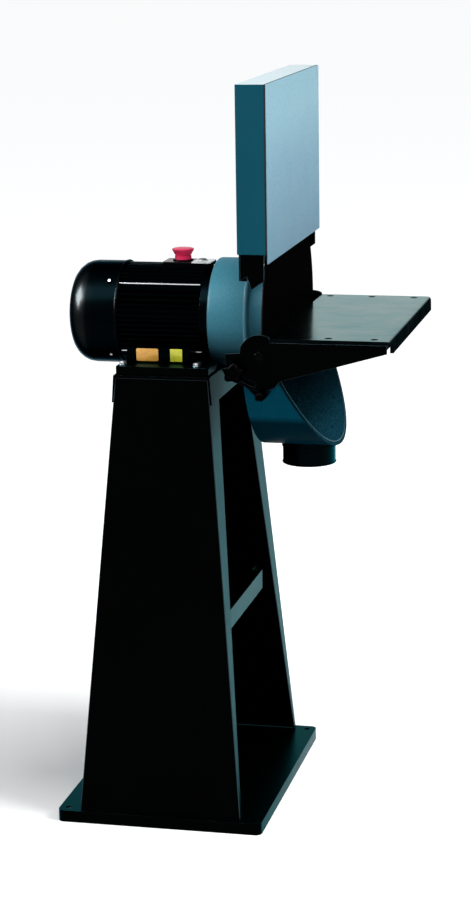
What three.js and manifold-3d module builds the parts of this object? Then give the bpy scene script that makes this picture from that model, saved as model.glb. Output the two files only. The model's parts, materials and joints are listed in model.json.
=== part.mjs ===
// Disc sander on a tapered sheet-metal stand: motor, stepped drum housing, 450 mm disc, dust shroud,
// tilting table and a guard that slides over the upper half of the disc.
// Millimetres, +Z up. X runs along the motor shaft, with the disc at the +X end; Y runs across it.
// While the pieces are made, x = 0 is the sanding face and y = 0 is the shaft's vertical plane.
// The finished group is shifted along X so that the origin is the centre of the footprint, on the floor.
import * as THREE from 'three';
import { mergeVertices } from 'three/addons/utils/BufferGeometryUtils.js';
import Module from 'manifold-3d';

const wasm = await Module();
wasm.setup();

// ---------------------------------------------------------------- driving dimensions
const SEAT = 0.3;                    // gap left between faces that rest on each other
const RUN = 0.1;                     // radial clearance of a turning shaft or stud
const FAR_OUT = 400;                 // reach of a cutting tool that passes the whole machine

const AXIS_Z = 903;                  // height of the motor shaft
const DISC_R = 225;
const ABRASIVE_T = 1.5;
const BACKING = { t: 10, rimT: 2.2, rimIn: 205, taperIn: 150 }; // the plate thins toward its rim at the back

const BASE = { length: 381, depth: 528, height: 22, sheet: 3, corner: 12, hole: 5.5, inset: 17 };
const STAND_X = -197.5;              // centre of the stand along the shaft
const COLUMN = {
  footLength: 300, footDepth: 502, topLength: 170, topDepth: 343, topZ: 813, sheet: 3,
  returnFoot: 11, returnTop: 75,     // width of the folded returns beside the open side
};
const CROSSBAR = { z: 370, height: 36, sheet: 3, lap: 13, jog: 22, jogY: 110 };
const CAP = { sheet: 4, skirt: 45, wall: 3, overhang: 1.5 };

const CRADLE = { railHeight: 15, railInner: 100, railOuter: 165, web: 3 };
const CRADLE_BOLT = { r: 4, headR: 7, headH: 6, x: [-274, -138], y: 148 };

const MOTOR = { barrelR: 80, boreR: 70.3, rear: -300, front: -148, tipR: 92 };
const FIN = { t: 3, pitch: 9, root: 70 };
const CORNER_RIB = { inner: 54, outer: 68 };
const FOOT = { x0: -273, x1: -158, outer: 125, inner: 50, height: 27 };
const SHIELD = { r: 88, frontEnd: -131.3, rearEnd: -326, rimR: 91.4, bearingWall: 6 };
const SHAFT = { rear: -372, fanR: 9, bearingR: 12.5, rotorR: 15, diskR: 12, discEnd: -14 };
const BEARING = { r: 26, width: 15, rearX: -315, frontX: -141 };
const CORE = { x0: -272, x1: -168, r: 70, bore: 42, slots: 12, slotIn: 46, slotOut: 62, slotW: 12 };
const WINDING = { overhang: 14, r0: 45, r1: 63 };
const ROTOR_R = 41.2;
const KEY = { width: 8, height: 7, x0: -54, x1: -24 };
const FAN = { x0: -362, x1: -332, r: 78, hubR: 17, blades: 7, bladeT: 2.4 };
const COWL = { rear: -398, r: 94, wall: 2, corner: 40, beadR: 95.6, beadW: 4, screwX: -318 };
const GRILLE = { slots: 8, r0: 16, r1: 46, width: 7, hub: 8 };
const COWL_SCREW = { r: 2.5, headR: 5, headH: 2.6 };

const DRUM = { x0: -131, x1: -58.5, r: 103, wall: 5, edge: 6, shoulder: 5, spigotR: 60, room: 3 };
const HUB = { r: 78, end: -24, wall: 4, hole: 31 };
const FLANGE = { r: 62, t: 9, sleeveR: 26, sleeveStart: -60 };
const DISC_SCREW = { r: 4, headR: 7.5, headH: 3, length: 30 };

const SHROUD = { r: 233, sheet: 2.5, back: -38, topZ: 880, frontTopZ: 850, hubGap: 0.5 };
const CHUTE = { x: 27, z: 823, slope: 0.4545, sheet: 2.5 };
const SPIGOT = { x: 34.9, r: 48.5, wall: 2.5, bottomZ: 632, beadZ: 663, beadR: 50, beadH: 4 };

const PIVOT = { x: -3, z: 873, r: 5, headR: 8.5, headH: 6 };
const SLOT = { r: 51, width: 9, from: 192, to: 262 };
const TILT_STUD_ANGLE = 212;
const BRACKET_STUD = [-1, 805];
const TRUNNION = { outer: 238, bossPivot: 15, bossStud: 10 };
const KNOB = { r: 18, lobes: 5, lobeSteps: 6, lobeDepth: 2.5, length: 18, neckR: 9, neck: 6, studR: 4 };
const SMALL_KNOB = { ...KNOB, r: 10.5, lobeDepth: 1.2, length: 14, neckR: 7 };

const TABLE = {
  x0: 14, x1: 226, halfWidth: 238, t: 6, lip: 24, lipT: 6, fold: 7,
  lipNear: -214, lipFar: 227, corner: 12, // where the front lip starts and ends; the far front corner
};
const SIDE = { t: 4, gap: 0.5, flangeT: 8, flangeInner: 206, x0: 22, x1: 219, z1: 882, kneeX: 32, kneeZ: 829 };
const QUADRANT = { topR: 37, lobeR: 61, backX: -37.6 };
const TABLE_SCREW = { r: 3, headH: 3, recess: 0.4, length: 16, x: [34, 114, 194], y: 220 };

const GUARD = {
  x0: -42.5, x1: 7.3, halfWidth: 231.7, bottom: 1046.7, top: 1336.3, sheet: 1.5, returnW: 9,
  slotHalf: 80, slotTop: 1192,
};
const GASKET = { t: 2.6, w: 5.5 };
const FACE = { t: 1.5, bottom: 1030.7 };
const CHANNEL = { back: -38, sheet: 2, front: 4, bottom: 1000, top: 1200, gap: 0.7 };
const POST = { x0: -76, x1: -62, half: 74, top: 1032, bottom: 960, armHalf: 60, armH: 20 };
const GUARD_TRAVEL = 120;
const GUARD_STUD = { y: 150, z: 1150, slotHalf: 5 };

const SWITCH = { x0: -229, x1: -140, half: 24, padZ: 991.4, boxH: 6, plateT: 2, wall: 1.5 };
const ESTOP = { x: -196.5, neckR: 15.5, rimR: 20.3, neckH: 10, capH: 12, collarR: 19 };
const START = { x: -160, r: 7, rise: 4 };

// ---------------------------------------------------------------- materials
const paint = (color, roughness, metalness = 0) => new THREE.MeshStandardMaterial({ color, roughness, metalness });
const BLACK = paint(0x101316, 0.4);
const TEAL = paint(0x3f7f90, 0.42);
const DARK_TEAL = paint(0x1c3540, 0.6);
const PALE = paint(0xb6c8d4, 0.45);
const TABLE_BLACK = paint(0x0d1111, 0.2);
const ABRASIVE = paint(0x161616, 0.95);
const STEEL = paint(0xb9bcc0, 0.3, 0.9);
const COPPER = paint(0xb5642c, 0.4, 0.8);
const PLASTIC = paint(0x141414, 0.5);
const RED = paint(0xc4161c, 0.35);
const GREEN = paint(0x1d4a34, 0.4);
const SWITCH_GREY = paint(0xd8dcdc, 0.4);
const RUBBER = paint(0x0c0c0c, 0.85);

// ---------------------------------------------------------------- solid helpers
const SEGMENTS = { fine: 72, medium: 40, small: 20, tiny: 12 };

function toSolid(geometry) {
  geometry.deleteAttribute('normal');
  geometry.deleteAttribute('uv');
  const merged = mergeVertices(geometry, 1e-5);
  return new wasm.Manifold(new wasm.Mesh({
    numProp: 3,
    vertProperties: new Float32Array(merged.attributes.position.array),
    triVerts: new Uint32Array(merged.index.array),
  }));
}

function toGeometry(solid) {
  const mesh = solid.getMesh();
  const geometry = new THREE.BufferGeometry();
  geometry.setAttribute('position', new THREE.BufferAttribute(new Float32Array(mesh.vertProperties), 3));
  geometry.setIndex(new THREE.BufferAttribute(new Uint32Array(mesh.triVerts), 1));
  return geometry;
}

const union = (solids) => solids.reduce((sum, solid) => sum.add(solid));
const cut = (body, tools) => tools.reduce((rest, tool) => rest.subtract(tool), body);

function block(x0, x1, y0, y1, z0, z1) {
  const geometry = new THREE.BoxGeometry(x1 - x0, y1 - y0, z1 - z0);
  geometry.translate((x0 + x1) / 2, (y0 + y1) / 2, (z0 + z1) / 2);
  return toSolid(geometry);
}

// A cylinder along X, Y or Z between two stations; a and b are its other two coordinates.
function rod(axis, from, to, r, a, b, segments = SEGMENTS.medium) {
  const geometry = new THREE.CylinderGeometry(r, r, to - from, segments);
  const mid = (from + to) / 2;
  if (axis === 'x') geometry.rotateZ(-Math.PI / 2).translate(mid, a, b);
  if (axis === 'y') geometry.translate(a, mid, b);
  if (axis === 'z') geometry.rotateX(Math.PI / 2).translate(a, b, mid);
  return toSolid(geometry);
}

const shaftRod = (x0, x1, r, segments) => rod('x', x0, x1, r, 0, AXIS_Z, segments);

// Turns a profile of [station, radius] pairs about the motor shaft (axis x) or about a vertical line.
function turned(profile, segments, axis = 'x', a = 0, b = AXIS_Z) {
  const points = profile.map(([station, r]) => new THREE.Vector2(r, station));
  const closed = profile[0][1] > 0;
  if (closed) points.push(points[0].clone());
  const geometry = new THREE.LatheGeometry(points, segments);
  if (axis === 'x') geometry.rotateZ(-Math.PI / 2).translate(0, a, b);
  if (axis === 'z') geometry.rotateX(Math.PI / 2).translate(a, b, 0);
  return toSolid(geometry);
}

// Points of an arc in degrees, for outlines and profiles.
function arc(cx, cy, r, from, to, steps) {
  const points = [];
  for (let i = 0; i <= steps; i += 1) {
    const angle = THREE.MathUtils.degToRad(from + ((to - from) * i) / steps);
    points.push([cx + r * Math.cos(angle), cy + r * Math.sin(angle)]);
  }
  return points;
}

// Extrudes an outline given in (x, z), (y, z) or (x, y) along the axis that is left.
function slab(plane, outline, from, to) {
  const shape = new THREE.Shape(outline.map(([u, v]) => new THREE.Vector2(u, v)));
  const geometry = new THREE.ExtrudeGeometry(shape, { depth: to - from, bevelEnabled: false });
  geometry.translate(0, 0, from);
  if (plane === 'xz') geometry.applyMatrix4(new THREE.Matrix4().set(
    1, 0, 0, 0, 0, 0, 1, 0, 0, 1, 0, 0, 0, 0, 0, 1));
  if (plane === 'yz') geometry.applyMatrix4(new THREE.Matrix4().set(
    0, 0, 1, 0, 1, 0, 0, 0, 0, 1, 0, 0, 0, 0, 0, 1));
  if (plane === 'xz') return toSolid(flippedNonIndexed(geometry));
  return toSolid(geometry);
}

// Swapping two axes mirrors a solid, so its faces are turned back to point out.
function flippedNonIndexed(geometry) {
  const source = geometry.index ? geometry.toNonIndexed() : geometry;
  const p = source.attributes.position.array;
  for (let i = 0; i < p.length; i += 9) {
    for (let k = 0; k < 3; k += 1) [p[i + k], p[i + 3 + k]] = [p[i + 3 + k], p[i + k]];
  }
  return source;
}

function roundedRectangle(x0, x1, y0, y1, r, steps = 5) {
  return [
    ...arc(x1 - r, y1 - r, r, 0, 90, steps), ...arc(x0 + r, y1 - r, r, 90, 180, steps),
    ...arc(x0 + r, y0 + r, r, 180, 270, steps), ...arc(x1 - r, y0 + r, r, 270, 360, steps),
  ];
}

const model = new THREE.Group();

function add(name, solid, material) {
  const mesh = new THREE.Mesh(toGeometry(solid), material);
  mesh.name = name;
  model.add(mesh);
}

// near is the -Y side, where the operator's left hand is; far is the +Y side.
const SIDES = [['near', -1], ['far', 1]];
const span = (side, inner, outer) => (side < 0 ? [-outer, -inner] : [inner, outer]);

// ---------------------------------------------------------------- stand
function basePlate() {
  const { length, depth, height, sheet, corner, hole, inset } = BASE;
  const x0 = STAND_X - length / 2;
  const x1 = STAND_X + length / 2;
  const outer = slab('xy', roundedRectangle(x0, x1, -depth / 2, depth / 2, corner), 0, height);
  const hollow = slab('xy', roundedRectangle(
    x0 + sheet, x1 - sheet, -depth / 2 + sheet, depth / 2 - sheet, corner - sheet), -1, height - sheet);
  const holes = [];
  for (const x of [x0 + inset, x1 - inset]) {
    for (const y of [-depth / 2 + inset, depth / 2 - inset]) {
      holes.push(rod('z', 0, height + 1, hole, x, y, SEGMENTS.small));
    }
  }
  return cut(outer, [hollow, ...holes]);
}

const COLUMN_FOOT_Z = BASE.height + SEAT;
const columnShare = (z) => (z - COLUMN_FOOT_Z) / (COLUMN.topZ - COLUMN_FOOT_Z);
const mix = (a, b, t) => a + (b - a) * t;
const columnHalfX = (z) => mix(COLUMN.footLength, COLUMN.topLength, columnShare(z)) / 2;
const columnHalfY = (z) => mix(COLUMN.footDepth, COLUMN.topDepth, columnShare(z)) / 2;
const returnWidth = (z) => mix(COLUMN.returnFoot, COLUMN.returnTop, columnShare(z));

// A four-sided taper that follows the column, drawn in by one sheet thickness or more.
function taper(z0, z1, inset) {
  const geometry = new THREE.BoxGeometry(2, 2, 2);
  const p = geometry.attributes.position;
  for (let i = 0; i < p.count; i += 1) {
    const z = p.getZ(i) < 0 ? z0 : z1;
    const x = STAND_X + p.getX(i) * (columnHalfX(z) - inset);
    p.setXYZ(i, x, p.getY(i) * (columnHalfY(z) - inset), z);
  }
  return toSolid(geometry);
}

function columnShell() {
  const z0 = COLUMN_FOOT_Z;
  const z1 = COLUMN.topZ;
  const below = z0 - 10;
  const above = z1 + 10;
  const openSide = slab('yz', [
    [-(columnHalfY(below) - returnWidth(below)), below], [columnHalfY(below) - returnWidth(below), below],
    [columnHalfY(above) - returnWidth(above), above], [-(columnHalfY(above) - returnWidth(above)), above],
  ], STAND_X + COLUMN.topLength / 4, STAND_X + COLUMN.footLength);
  return cut(taper(z0, z1, 0), [taper(below, above, COLUMN.sheet), openSide]);
}

// A strap behind the front return; past jogY it steps inwards and meets the rear panel.
function columnCrossbar() {
  const { z, height, sheet, lap, jog, jogY } = CROSSBAR;
  const topZ = z + height / 2;
  const x1 = STAND_X + columnHalfX(topZ) - COLUMN.sheet - SEAT;
  const frontY = -(columnHalfY(z) - returnWidth(z) + lap);
  const rearY = columnHalfY(topZ) - COLUMN.sheet - SEAT;
  return union([
    block(x1 - sheet, x1, frontY, jogY, z - height / 2, topZ),
    block(x1 - jog, x1, jogY - sheet, jogY, z - height / 2, topZ),
    block(x1 - jog, x1 - jog + sheet, jogY - sheet, rearY, z - height / 2, topZ),
  ]);
}

const CAP_Z = COLUMN.topZ + SEAT + CAP.sheet;

function columnCap() {
  const skirtZ = COLUMN.topZ - CAP.skirt;
  const outer = (z) => columnHalfX(z) + SEAT + CAP.wall;
  const inner = (z) => columnHalfX(z) + SEAT;
  const rim = COLUMN.topZ + SEAT;
  const outline = [
    [STAND_X - outer(skirtZ), skirtZ], [STAND_X - inner(skirtZ), skirtZ], [STAND_X - inner(rim), rim],
    [STAND_X + inner(rim), rim], [STAND_X + inner(skirtZ), skirtZ], [STAND_X + outer(skirtZ), skirtZ],
    [STAND_X + outer(rim), CAP_Z], [STAND_X - outer(rim), CAP_Z],
  ];
  const halfY = COLUMN.topDepth / 2 + CAP.overhang;
  return cut(slab('xz', outline, -halfY, halfY), [drumRoom()]);
}

// The notch that the cap and the cradle leave for the drum housing, which hangs lower than the motor.
function drumRoom() {
  return shaftRod(DRUM.x0 - DRUM.room, DRUM.x1, DRUM.r + DRUM.room, SEGMENTS.medium);
}

const CRADLE_Z = CAP_Z + SEAT;
const RAIL_Z = CRADLE_Z + CRADLE.railHeight;

function motorCradle() {
  const { railInner, railOuter, web } = CRADLE;
  const outline = [
    [-railOuter, CRADLE_Z], [railOuter, CRADLE_Z], [railOuter, RAIL_Z], [railInner, RAIL_Z],
    [railInner, CRADLE_Z + web], [-railInner, CRADLE_Z + web], [-railInner, RAIL_Z], [-railOuter, RAIL_Z],
  ];
  const half = COLUMN.topLength / 2;
  const body = slab('yz', outline, STAND_X - half, STAND_X + half);
  return cut(body, [drumRoom(), ...cradleBoltSpots().map(([x, y]) => (
    rod('z', CRADLE_Z - 1, RAIL_Z + 1, CRADLE_BOLT.r + SEAT, x, y, SEGMENTS.small)))]);
}

// The motor is cut flat where it passes over the cradle's web.
function belowMotor() {
  const webTop = CRADLE_Z + CRADLE.web + SEAT;
  return block(-FAR_OUT, 0, -FAR_OUT, FAR_OUT, webTop - 60, webTop);
}

function cradleBoltSpots() {
  return CRADLE_BOLT.x.flatMap((x) => [[x, -CRADLE_BOLT.y], [x, CRADLE_BOLT.y]]);
}

function hexPrism(axis, from, to, acrossCorners, a, b) {
  return rod(axis, from, to, acrossCorners, a, b, 6);
}

function cradleBolt(x, y) {
  const seat = RAIL_Z + SEAT;
  return union([
    hexPrism('z', seat, seat + CRADLE_BOLT.headH, CRADLE_BOLT.headR, x, y),
    rod('z', CRADLE_Z + SEAT, seat + 1, CRADLE_BOLT.r, x, y, SEGMENTS.tiny),
  ]);
}

// ---------------------------------------------------------------- motor
const halfChord = (r, offset) => Math.sqrt(r * r - offset * offset);

function stator() {
  const { barrelR, boreR, rear, front, tipR } = MOTOR;
  const pieces = [shaftRod(rear, front, barrelR, SEGMENTS.medium)];
  const across = Math.floor(CORNER_RIB.inner / FIN.pitch) * FIN.pitch;
  for (let offset = -across; offset <= across; offset += FIN.pitch) {
    const tip = halfChord(tipR, Math.abs(offset) + FIN.t / 2);
    const root = halfChord(FIN.root, Math.abs(offset));
    const z = AXIS_Z + offset;
    pieces.push(block(rear, front, -tip, -root, z - FIN.t / 2, z + FIN.t / 2));
    pieces.push(block(rear, front, root, tip, z - FIN.t / 2, z + FIN.t / 2));
    pieces.push(block(rear, front, offset - FIN.t / 2, offset + FIN.t / 2, AXIS_Z + root, AXIS_Z + tip));
  }
  for (const [, side] of SIDES) {
    const [y0, y1] = span(side, CORNER_RIB.inner - 8, CORNER_RIB.outer);
    pieces.push(block(rear, front, y0, y1, AXIS_Z + CORNER_RIB.inner, AXIS_Z + CORNER_RIB.outer));
    pieces.push(block(rear, front, y0, y1, AXIS_Z - CORNER_RIB.outer, AXIS_Z - CORNER_RIB.inner));
    const [f0, f1] = span(side, FOOT.inner, FOOT.outer);
    const footZ = RAIL_Z + SEAT;
    pieces.push(block(FOOT.x0, FOOT.x1, f0, f1, footZ, footZ + FOOT.height));
  }
  const { x0, x1, half, padZ } = SWITCH;
  pieces.push(block(x0, front, -half, half, AXIS_Z + FIN.root, padZ));
  const padRoom = block(x0 - 4, x1 + 4, -half - 3, half + 3, padZ, padZ + 30);
  return cut(union(pieces), [shaftRod(rear - 1, front + 1, boreR, SEGMENTS.medium), padRoom, belowMotor()]);
}

const slotAngles = Array.from({ length: CORE.slots }, (_, i) => (i * 360) / CORE.slots);

function spoke(x0, x1, r0, r1, width, degrees) {
  const geometry = new THREE.BoxGeometry(x1 - x0, width, r1 - r0);
  geometry.translate((x0 + x1) / 2, 0, (r0 + r1) / 2);
  geometry.rotateX(THREE.MathUtils.degToRad(degrees)).translate(0, 0, AXIS_Z);
  return toSolid(geometry);
}

function statorCore() {
  const ring = shaftRod(CORE.x0, CORE.x1, CORE.r, SEGMENTS.medium);
  const bore = shaftRod(CORE.x0 - 1, CORE.x1 + 1, CORE.bore, SEGMENTS.medium);
  const slots = slotAngles.map((a) => (
    spoke(CORE.x0 - 1, CORE.x1 + 1, CORE.slotIn, CORE.slotOut, CORE.slotW, a)));
  return cut(ring, [bore, ...slots]);
}

function statorWinding() {
  const { overhang, r0, r1 } = WINDING;
  const ring = (x0, x1) => cut(shaftRod(x0, x1, r1, SEGMENTS.small), [
    shaftRod(x0 - 1, x1 + 1, r0, SEGMENTS.small)]);
  const bars = slotAngles.map((a) => spoke(
    CORE.x0 - SEAT - 2, CORE.x1 + SEAT + 2, CORE.slotIn + SEAT, CORE.slotOut - SEAT, CORE.slotW - 2 * SEAT, a));
  return union([
    ring(CORE.x0 - SEAT - overhang, CORE.x0 - SEAT), ring(CORE.x1 + SEAT, CORE.x1 + SEAT + overhang), ...bars,
  ]);
}

function rotor() {
  return cut(shaftRod(CORE.x0, CORE.x1, ROTOR_R, SEGMENTS.medium), [
    shaftRod(CORE.x0 - 1, CORE.x1 + 1, SHAFT.rotorR + RUN, SEGMENTS.medium)]);
}

function motorShaft() {
  const { rear, fanR, bearingR, rotorR, diskR, discEnd } = SHAFT;
  const rearSeat = BEARING.rearX - BEARING.width / 2 - 3;
  const rearEnd = BEARING.rearX + BEARING.width / 2 + 3;
  const frontSeat = BEARING.frontX - BEARING.width / 2 - 3;
  const frontEnd = BEARING.frontX + BEARING.width / 2 + 2;
  const body = turned([
    [rear, 0], [rear, fanR], [rearSeat, fanR], [rearSeat, bearingR], [rearEnd, bearingR],
    [rearEnd, rotorR], [frontSeat, rotorR], [frontSeat, bearingR], [frontEnd, bearingR],
    [frontEnd, diskR], [discEnd, diskR], [discEnd, 0],
  ], SEGMENTS.medium);
  const keyway = block(KEY.x0, KEY.x1, -KEY.width / 2, KEY.width / 2,
    AXIS_Z + diskR - KEY.height / 2, AXIS_Z + diskR + KEY.height);
  const tapped = shaftRod(discEnd - DISC_SCREW.length, discEnd + 1, DISC_SCREW.r + RUN, SEGMENTS.tiny);
  return cut(body, [keyway, tapped]);
}

function shaftKey() {
  const half = KEY.width / 2 - SEAT;
  const bottom = AXIS_Z + SHAFT.diskR - KEY.height / 2 + SEAT;
  return block(KEY.x0 + SEAT, KEY.x1 - SEAT, -half, half, bottom, bottom + KEY.height - 2 * SEAT);
}

function bearing(x) {
  const half = BEARING.width / 2;
  const bore = SHAFT.bearingR + RUN;
  return turned([
    [x - half, bore], [x - half, BEARING.r], [x + half, BEARING.r], [x + half, bore],
  ], SEGMENTS.medium);
}

function bearingPocket(x) {
  const half = BEARING.width / 2 + SEAT;
  return shaftRod(x - half, x + half, BEARING.r + SEAT, SEGMENTS.medium);
}

function endShieldRear() {
  const face = MOTOR.rear - SEAT;
  const wall = BEARING.rearX - BEARING.width / 2 - SHIELD.bearingWall;
  const body = union([
    shaftRod(face - 12, face, SHIELD.rimR, SEGMENTS.medium),
    cut(shaftRod(SHIELD.rearEnd, face - 11, SHIELD.rimR, SEGMENTS.medium), [
      shaftRod(SHIELD.rearEnd - 1, face - 12, SHIELD.rimR - 8, SEGMENTS.medium)]),
    shaftRod(wall, face, BEARING.r + 8, SEGMENTS.small),
  ]);
  const open = shaftRod(BEARING.rearX, face + 1, BEARING.r + SEAT, SEGMENTS.medium);
  const holes = cowlScrewAngles.map((a) => radialRod(COWL.screwX, 70, 120, COWL_SCREW.r + RUN, a));
  return cut(body, [
    bearingPocket(BEARING.rearX), open, shaftRod(wall - 1, face, SHAFT.bearingR + 1.5, SEGMENTS.small), ...holes]);
}

function endShieldFront() {
  const face = MOTOR.front + SEAT;
  const body = union([
    shaftRod(face, SHIELD.frontEnd, SHIELD.r, SEGMENTS.medium),
    shaftRod(SHIELD.frontEnd - 1, SHIELD.frontEnd + 6, DRUM.spigotR - SEAT, SEGMENTS.medium),
    shaftRod(BEARING.frontX - BEARING.width / 2, face + 1, BEARING.r + 7, SEGMENTS.small),
  ]);
  const open = shaftRod(BEARING.frontX - BEARING.width, BEARING.frontX, BEARING.r + SEAT, SEGMENTS.medium);
  return cut(body, [
    bearingPocket(BEARING.frontX), open, belowMotor(),
    shaftRod(face, SHIELD.frontEnd + 7, SHAFT.bearingR + 1.5, SEGMENTS.small)]);
}

function coolingFan() {
  const pieces = [
    shaftRod(FAN.x0, FAN.x1, FAN.hubR, SEGMENTS.small),
    shaftRod(FAN.x1 - 3, FAN.x1, FAN.r - 6, SEGMENTS.medium),
  ];
  for (let i = 0; i < FAN.blades; i += 1) {
    pieces.push(spoke(FAN.x0 + 2, FAN.x1 - 2, FAN.hubR - 3, FAN.r, FAN.bladeT, (i * 360) / FAN.blades));
  }
  return cut(union(pieces), [shaftRod(FAN.x0 - 1, FAN.x1 + 1, SHAFT.fanR + RUN, SEGMENTS.medium)]);
}

const cowlScrewAngles = [45, 135, 225, 315];

function radialRod(x, r0, r1, r, degrees, segments = SEGMENTS.tiny) {
  const geometry = new THREE.CylinderGeometry(r, r, r1 - r0, segments);
  geometry.rotateX(Math.PI / 2).translate(x, 0, (r0 + r1) / 2);
  geometry.rotateX(THREE.MathUtils.degToRad(degrees)).translate(0, 0, AXIS_Z);
  return toSolid(geometry);
}

function fanCowl() {
  const { rear, r, wall, corner, beadR, beadW } = COWL;
  const open = MOTOR.rear - SEAT;
  const outerCorner = arc(rear + corner, r - corner, corner, 180, 90, 6);
  const innerCorner = arc(rear + corner, r - corner, corner - wall, 90, 180, 3);
  const body = turned([
    [rear, 0], ...outerCorner, [open - beadW, r], [open - beadW + 1, beadR], [open, beadR],
    [open, r - wall], ...innerCorner, [rear + wall, 0],
  ], SEGMENTS.medium);
  const slots = [];
  for (let i = 0; i < GRILLE.slots; i += 1) {
    slots.push(spoke(rear - 1, rear + wall + 1, GRILLE.r0, GRILLE.r1, GRILLE.width, (i * 360) / GRILLE.slots));
  }
  const holes = cowlScrewAngles.map((a) => radialRod(COWL.screwX, r - 20, r + 20, COWL_SCREW.r + RUN, a));
  return cut(body, [shaftRod(rear - 1, rear + wall + 1, GRILLE.hub, SEGMENTS.tiny), ...slots, ...holes]);
}

function cowlScrew(degrees) {
  const seat = COWL.r + SEAT;
  return union([
    radialRod(COWL.screwX, seat, seat + COWL_SCREW.headH, COWL_SCREW.headR, degrees),
    radialRod(COWL.screwX, SHIELD.rimR - 7, seat + 1, COWL_SCREW.r, degrees, 12),
  ]);
}

// ---------------------------------------------------------------- drum housing and disc
const BACKING_FRONT = -ABRASIVE_T - SEAT;
const BACKING_BACK = BACKING_FRONT - BACKING.t;

function drumHousing() {
  const { x0, x1, r, wall, edge, shoulder, spigotR } = DRUM;
  const hubInner = HUB.r - HUB.wall;
  return turned([
    [x0, spigotR], ...arc(x0 + edge, r - edge, edge, 180, 90, 3), ...arc(x1 - shoulder, r - shoulder, shoulder, 90, 0, 2),
    [x1, HUB.r], [HUB.end, HUB.r], [HUB.end, HUB.hole],
    [HUB.end - HUB.wall, HUB.hole], [HUB.end - HUB.wall, hubInner], [x1 - wall, hubInner],
    [x1 - wall, r - wall], [x0 + wall, r - wall], [x0 + wall, spigotR],
  ], SEGMENTS.fine);
}

function discFlange() {
  const front = BACKING_BACK - SEAT;
  const bore = SHAFT.diskR + RUN;
  const body = turned([
    [FLANGE.sleeveStart, bore], [FLANGE.sleeveStart, FLANGE.sleeveR], [front - FLANGE.t, FLANGE.sleeveR],
    [front - FLANGE.t, FLANGE.r], [front, FLANGE.r], [front, bore],
  ], SEGMENTS.medium);
  const keyway = block(KEY.x0 - 10, front + 1, -KEY.width / 2, KEY.width / 2,
    AXIS_Z, AXIS_Z + SHAFT.diskR + KEY.height / 2 + SEAT);
  return cut(body, [keyway]);
}

const DISC_HOLE_R = DISC_SCREW.r + RUN;

function backingPlate() {
  const { rimT, rimIn, taperIn } = BACKING;
  const rimBack = BACKING_FRONT - rimT;
  return turned([
    [BACKING_BACK, DISC_HOLE_R], [BACKING_BACK, taperIn], [rimBack, rimIn], [rimBack, DISC_R], [BACKING_FRONT, DISC_R],
    [BACKING_FRONT, DISC_HOLE_R],
  ], SEGMENTS.fine);
}

function abrasiveDisc() {
  return turned([
    [-ABRASIVE_T, DISC_HOLE_R], [-ABRASIVE_T, DISC_R], [0, DISC_R], [0, DISC_HOLE_R],
  ], SEGMENTS.fine);
}

function discScrew() {
  const { r, headR, headH, length } = DISC_SCREW;
  return turned([
    [SHAFT.discEnd - length + 8, 0], [SHAFT.discEnd - length + 8, r], [SEAT, r], [SEAT, headR],
    [headH - 1, headR], [headH, headR - 2], [headH, 0],
  ], SEGMENTS.tiny);
}

// ---------------------------------------------------------------- dust shroud
const chuteX = (z) => CHUTE.x + CHUTE.slope * (CHUTE.z - z);

// Everything behind the sloping front of the chute, moved back along X by an offset.
function behindChute(offset) {
  const low = AXIS_Z - SHROUD.r - 40;
  const high = SHROUD.topZ + 20;
  return slab('xz', [
    [chuteX(low) - offset, low], [chuteX(high) - offset, high], [-FAR_OUT, high], [-FAR_OUT, low],
  ], -FAR_OUT, FAR_OUT);
}

// Keeps what lies below the shroud's stepped upper edge: lower in front, where the table swings down.
function belowShroudTop() {
  const low = AXIS_Z - SHROUD.r - 60;
  return slab('xz', [
    [-FAR_OUT, low], [FAR_OUT, low], [FAR_OUT, SHROUD.frontTopZ], [2, SHROUD.frontTopZ],
    [-8, SHROUD.topZ], [-FAR_OUT, SHROUD.topZ],
  ], -FAR_OUT, FAR_OUT);
}

function dustShroud() {
  const { r, sheet, back, hubGap } = SHROUD;
  const shell = cut(shaftRod(back, FAR_OUT / 2, r, SEGMENTS.fine), [
    shaftRod(back + sheet, FAR_OUT, r - sheet, SEGMENTS.fine),
    shaftRod(back - 1, back + sheet + 1, HUB.r + hubGap, SEGMENTS.medium),
    rod('z', SPIGOT.bottomZ, AXIS_Z - DISC_R / 2, SPIGOT.r - SPIGOT.wall, SPIGOT.x, 0, SEGMENTS.medium),
  ]);
  return shell.intersect(behindChute(CHUTE.sheet + SEAT)).intersect(belowShroudTop());
}

function chuteFrontPlate() {
  const plate = behindChute(0).subtract(behindChute(CHUTE.sheet));
  return shaftRod(-FAR_OUT, FAR_OUT, SHROUD.r, SEGMENTS.fine).intersect(plate).intersect(belowShroudTop());
}

function dustSpigot() {
  const { x, r, wall, bottomZ, beadZ, beadR, beadH } = SPIGOT;
  const top = AXIS_Z - SHROUD.r + 20;
  const tube = turned([
    [bottomZ, r - wall], [bottomZ, r], [beadZ, r], [beadZ, beadR], [beadZ + beadH, beadR], [beadZ + beadH, r],
    [top, r], [top, r - wall],
  ], SEGMENTS.medium, 'z', x, 0);
  return cut(tube, [shaftRod(-FAR_OUT, FAR_OUT, SHROUD.r + SEAT, SEGMENTS.fine)]);
}

// ---------------------------------------------------------------- trunnions, knobs and table
function studSpot(degrees) {
  const angle = THREE.MathUtils.degToRad(degrees);
  return [PIVOT.x + SLOT.r * Math.cos(angle), PIVOT.z + SLOT.r * Math.sin(angle)];
}

const TILT_STUD = studSpot(TILT_STUD_ANGLE);
const SIDE_INNER = TRUNNION.outer + SIDE.gap;
const SIDE_OUTER = SIDE_INNER + SIDE.t;

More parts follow.
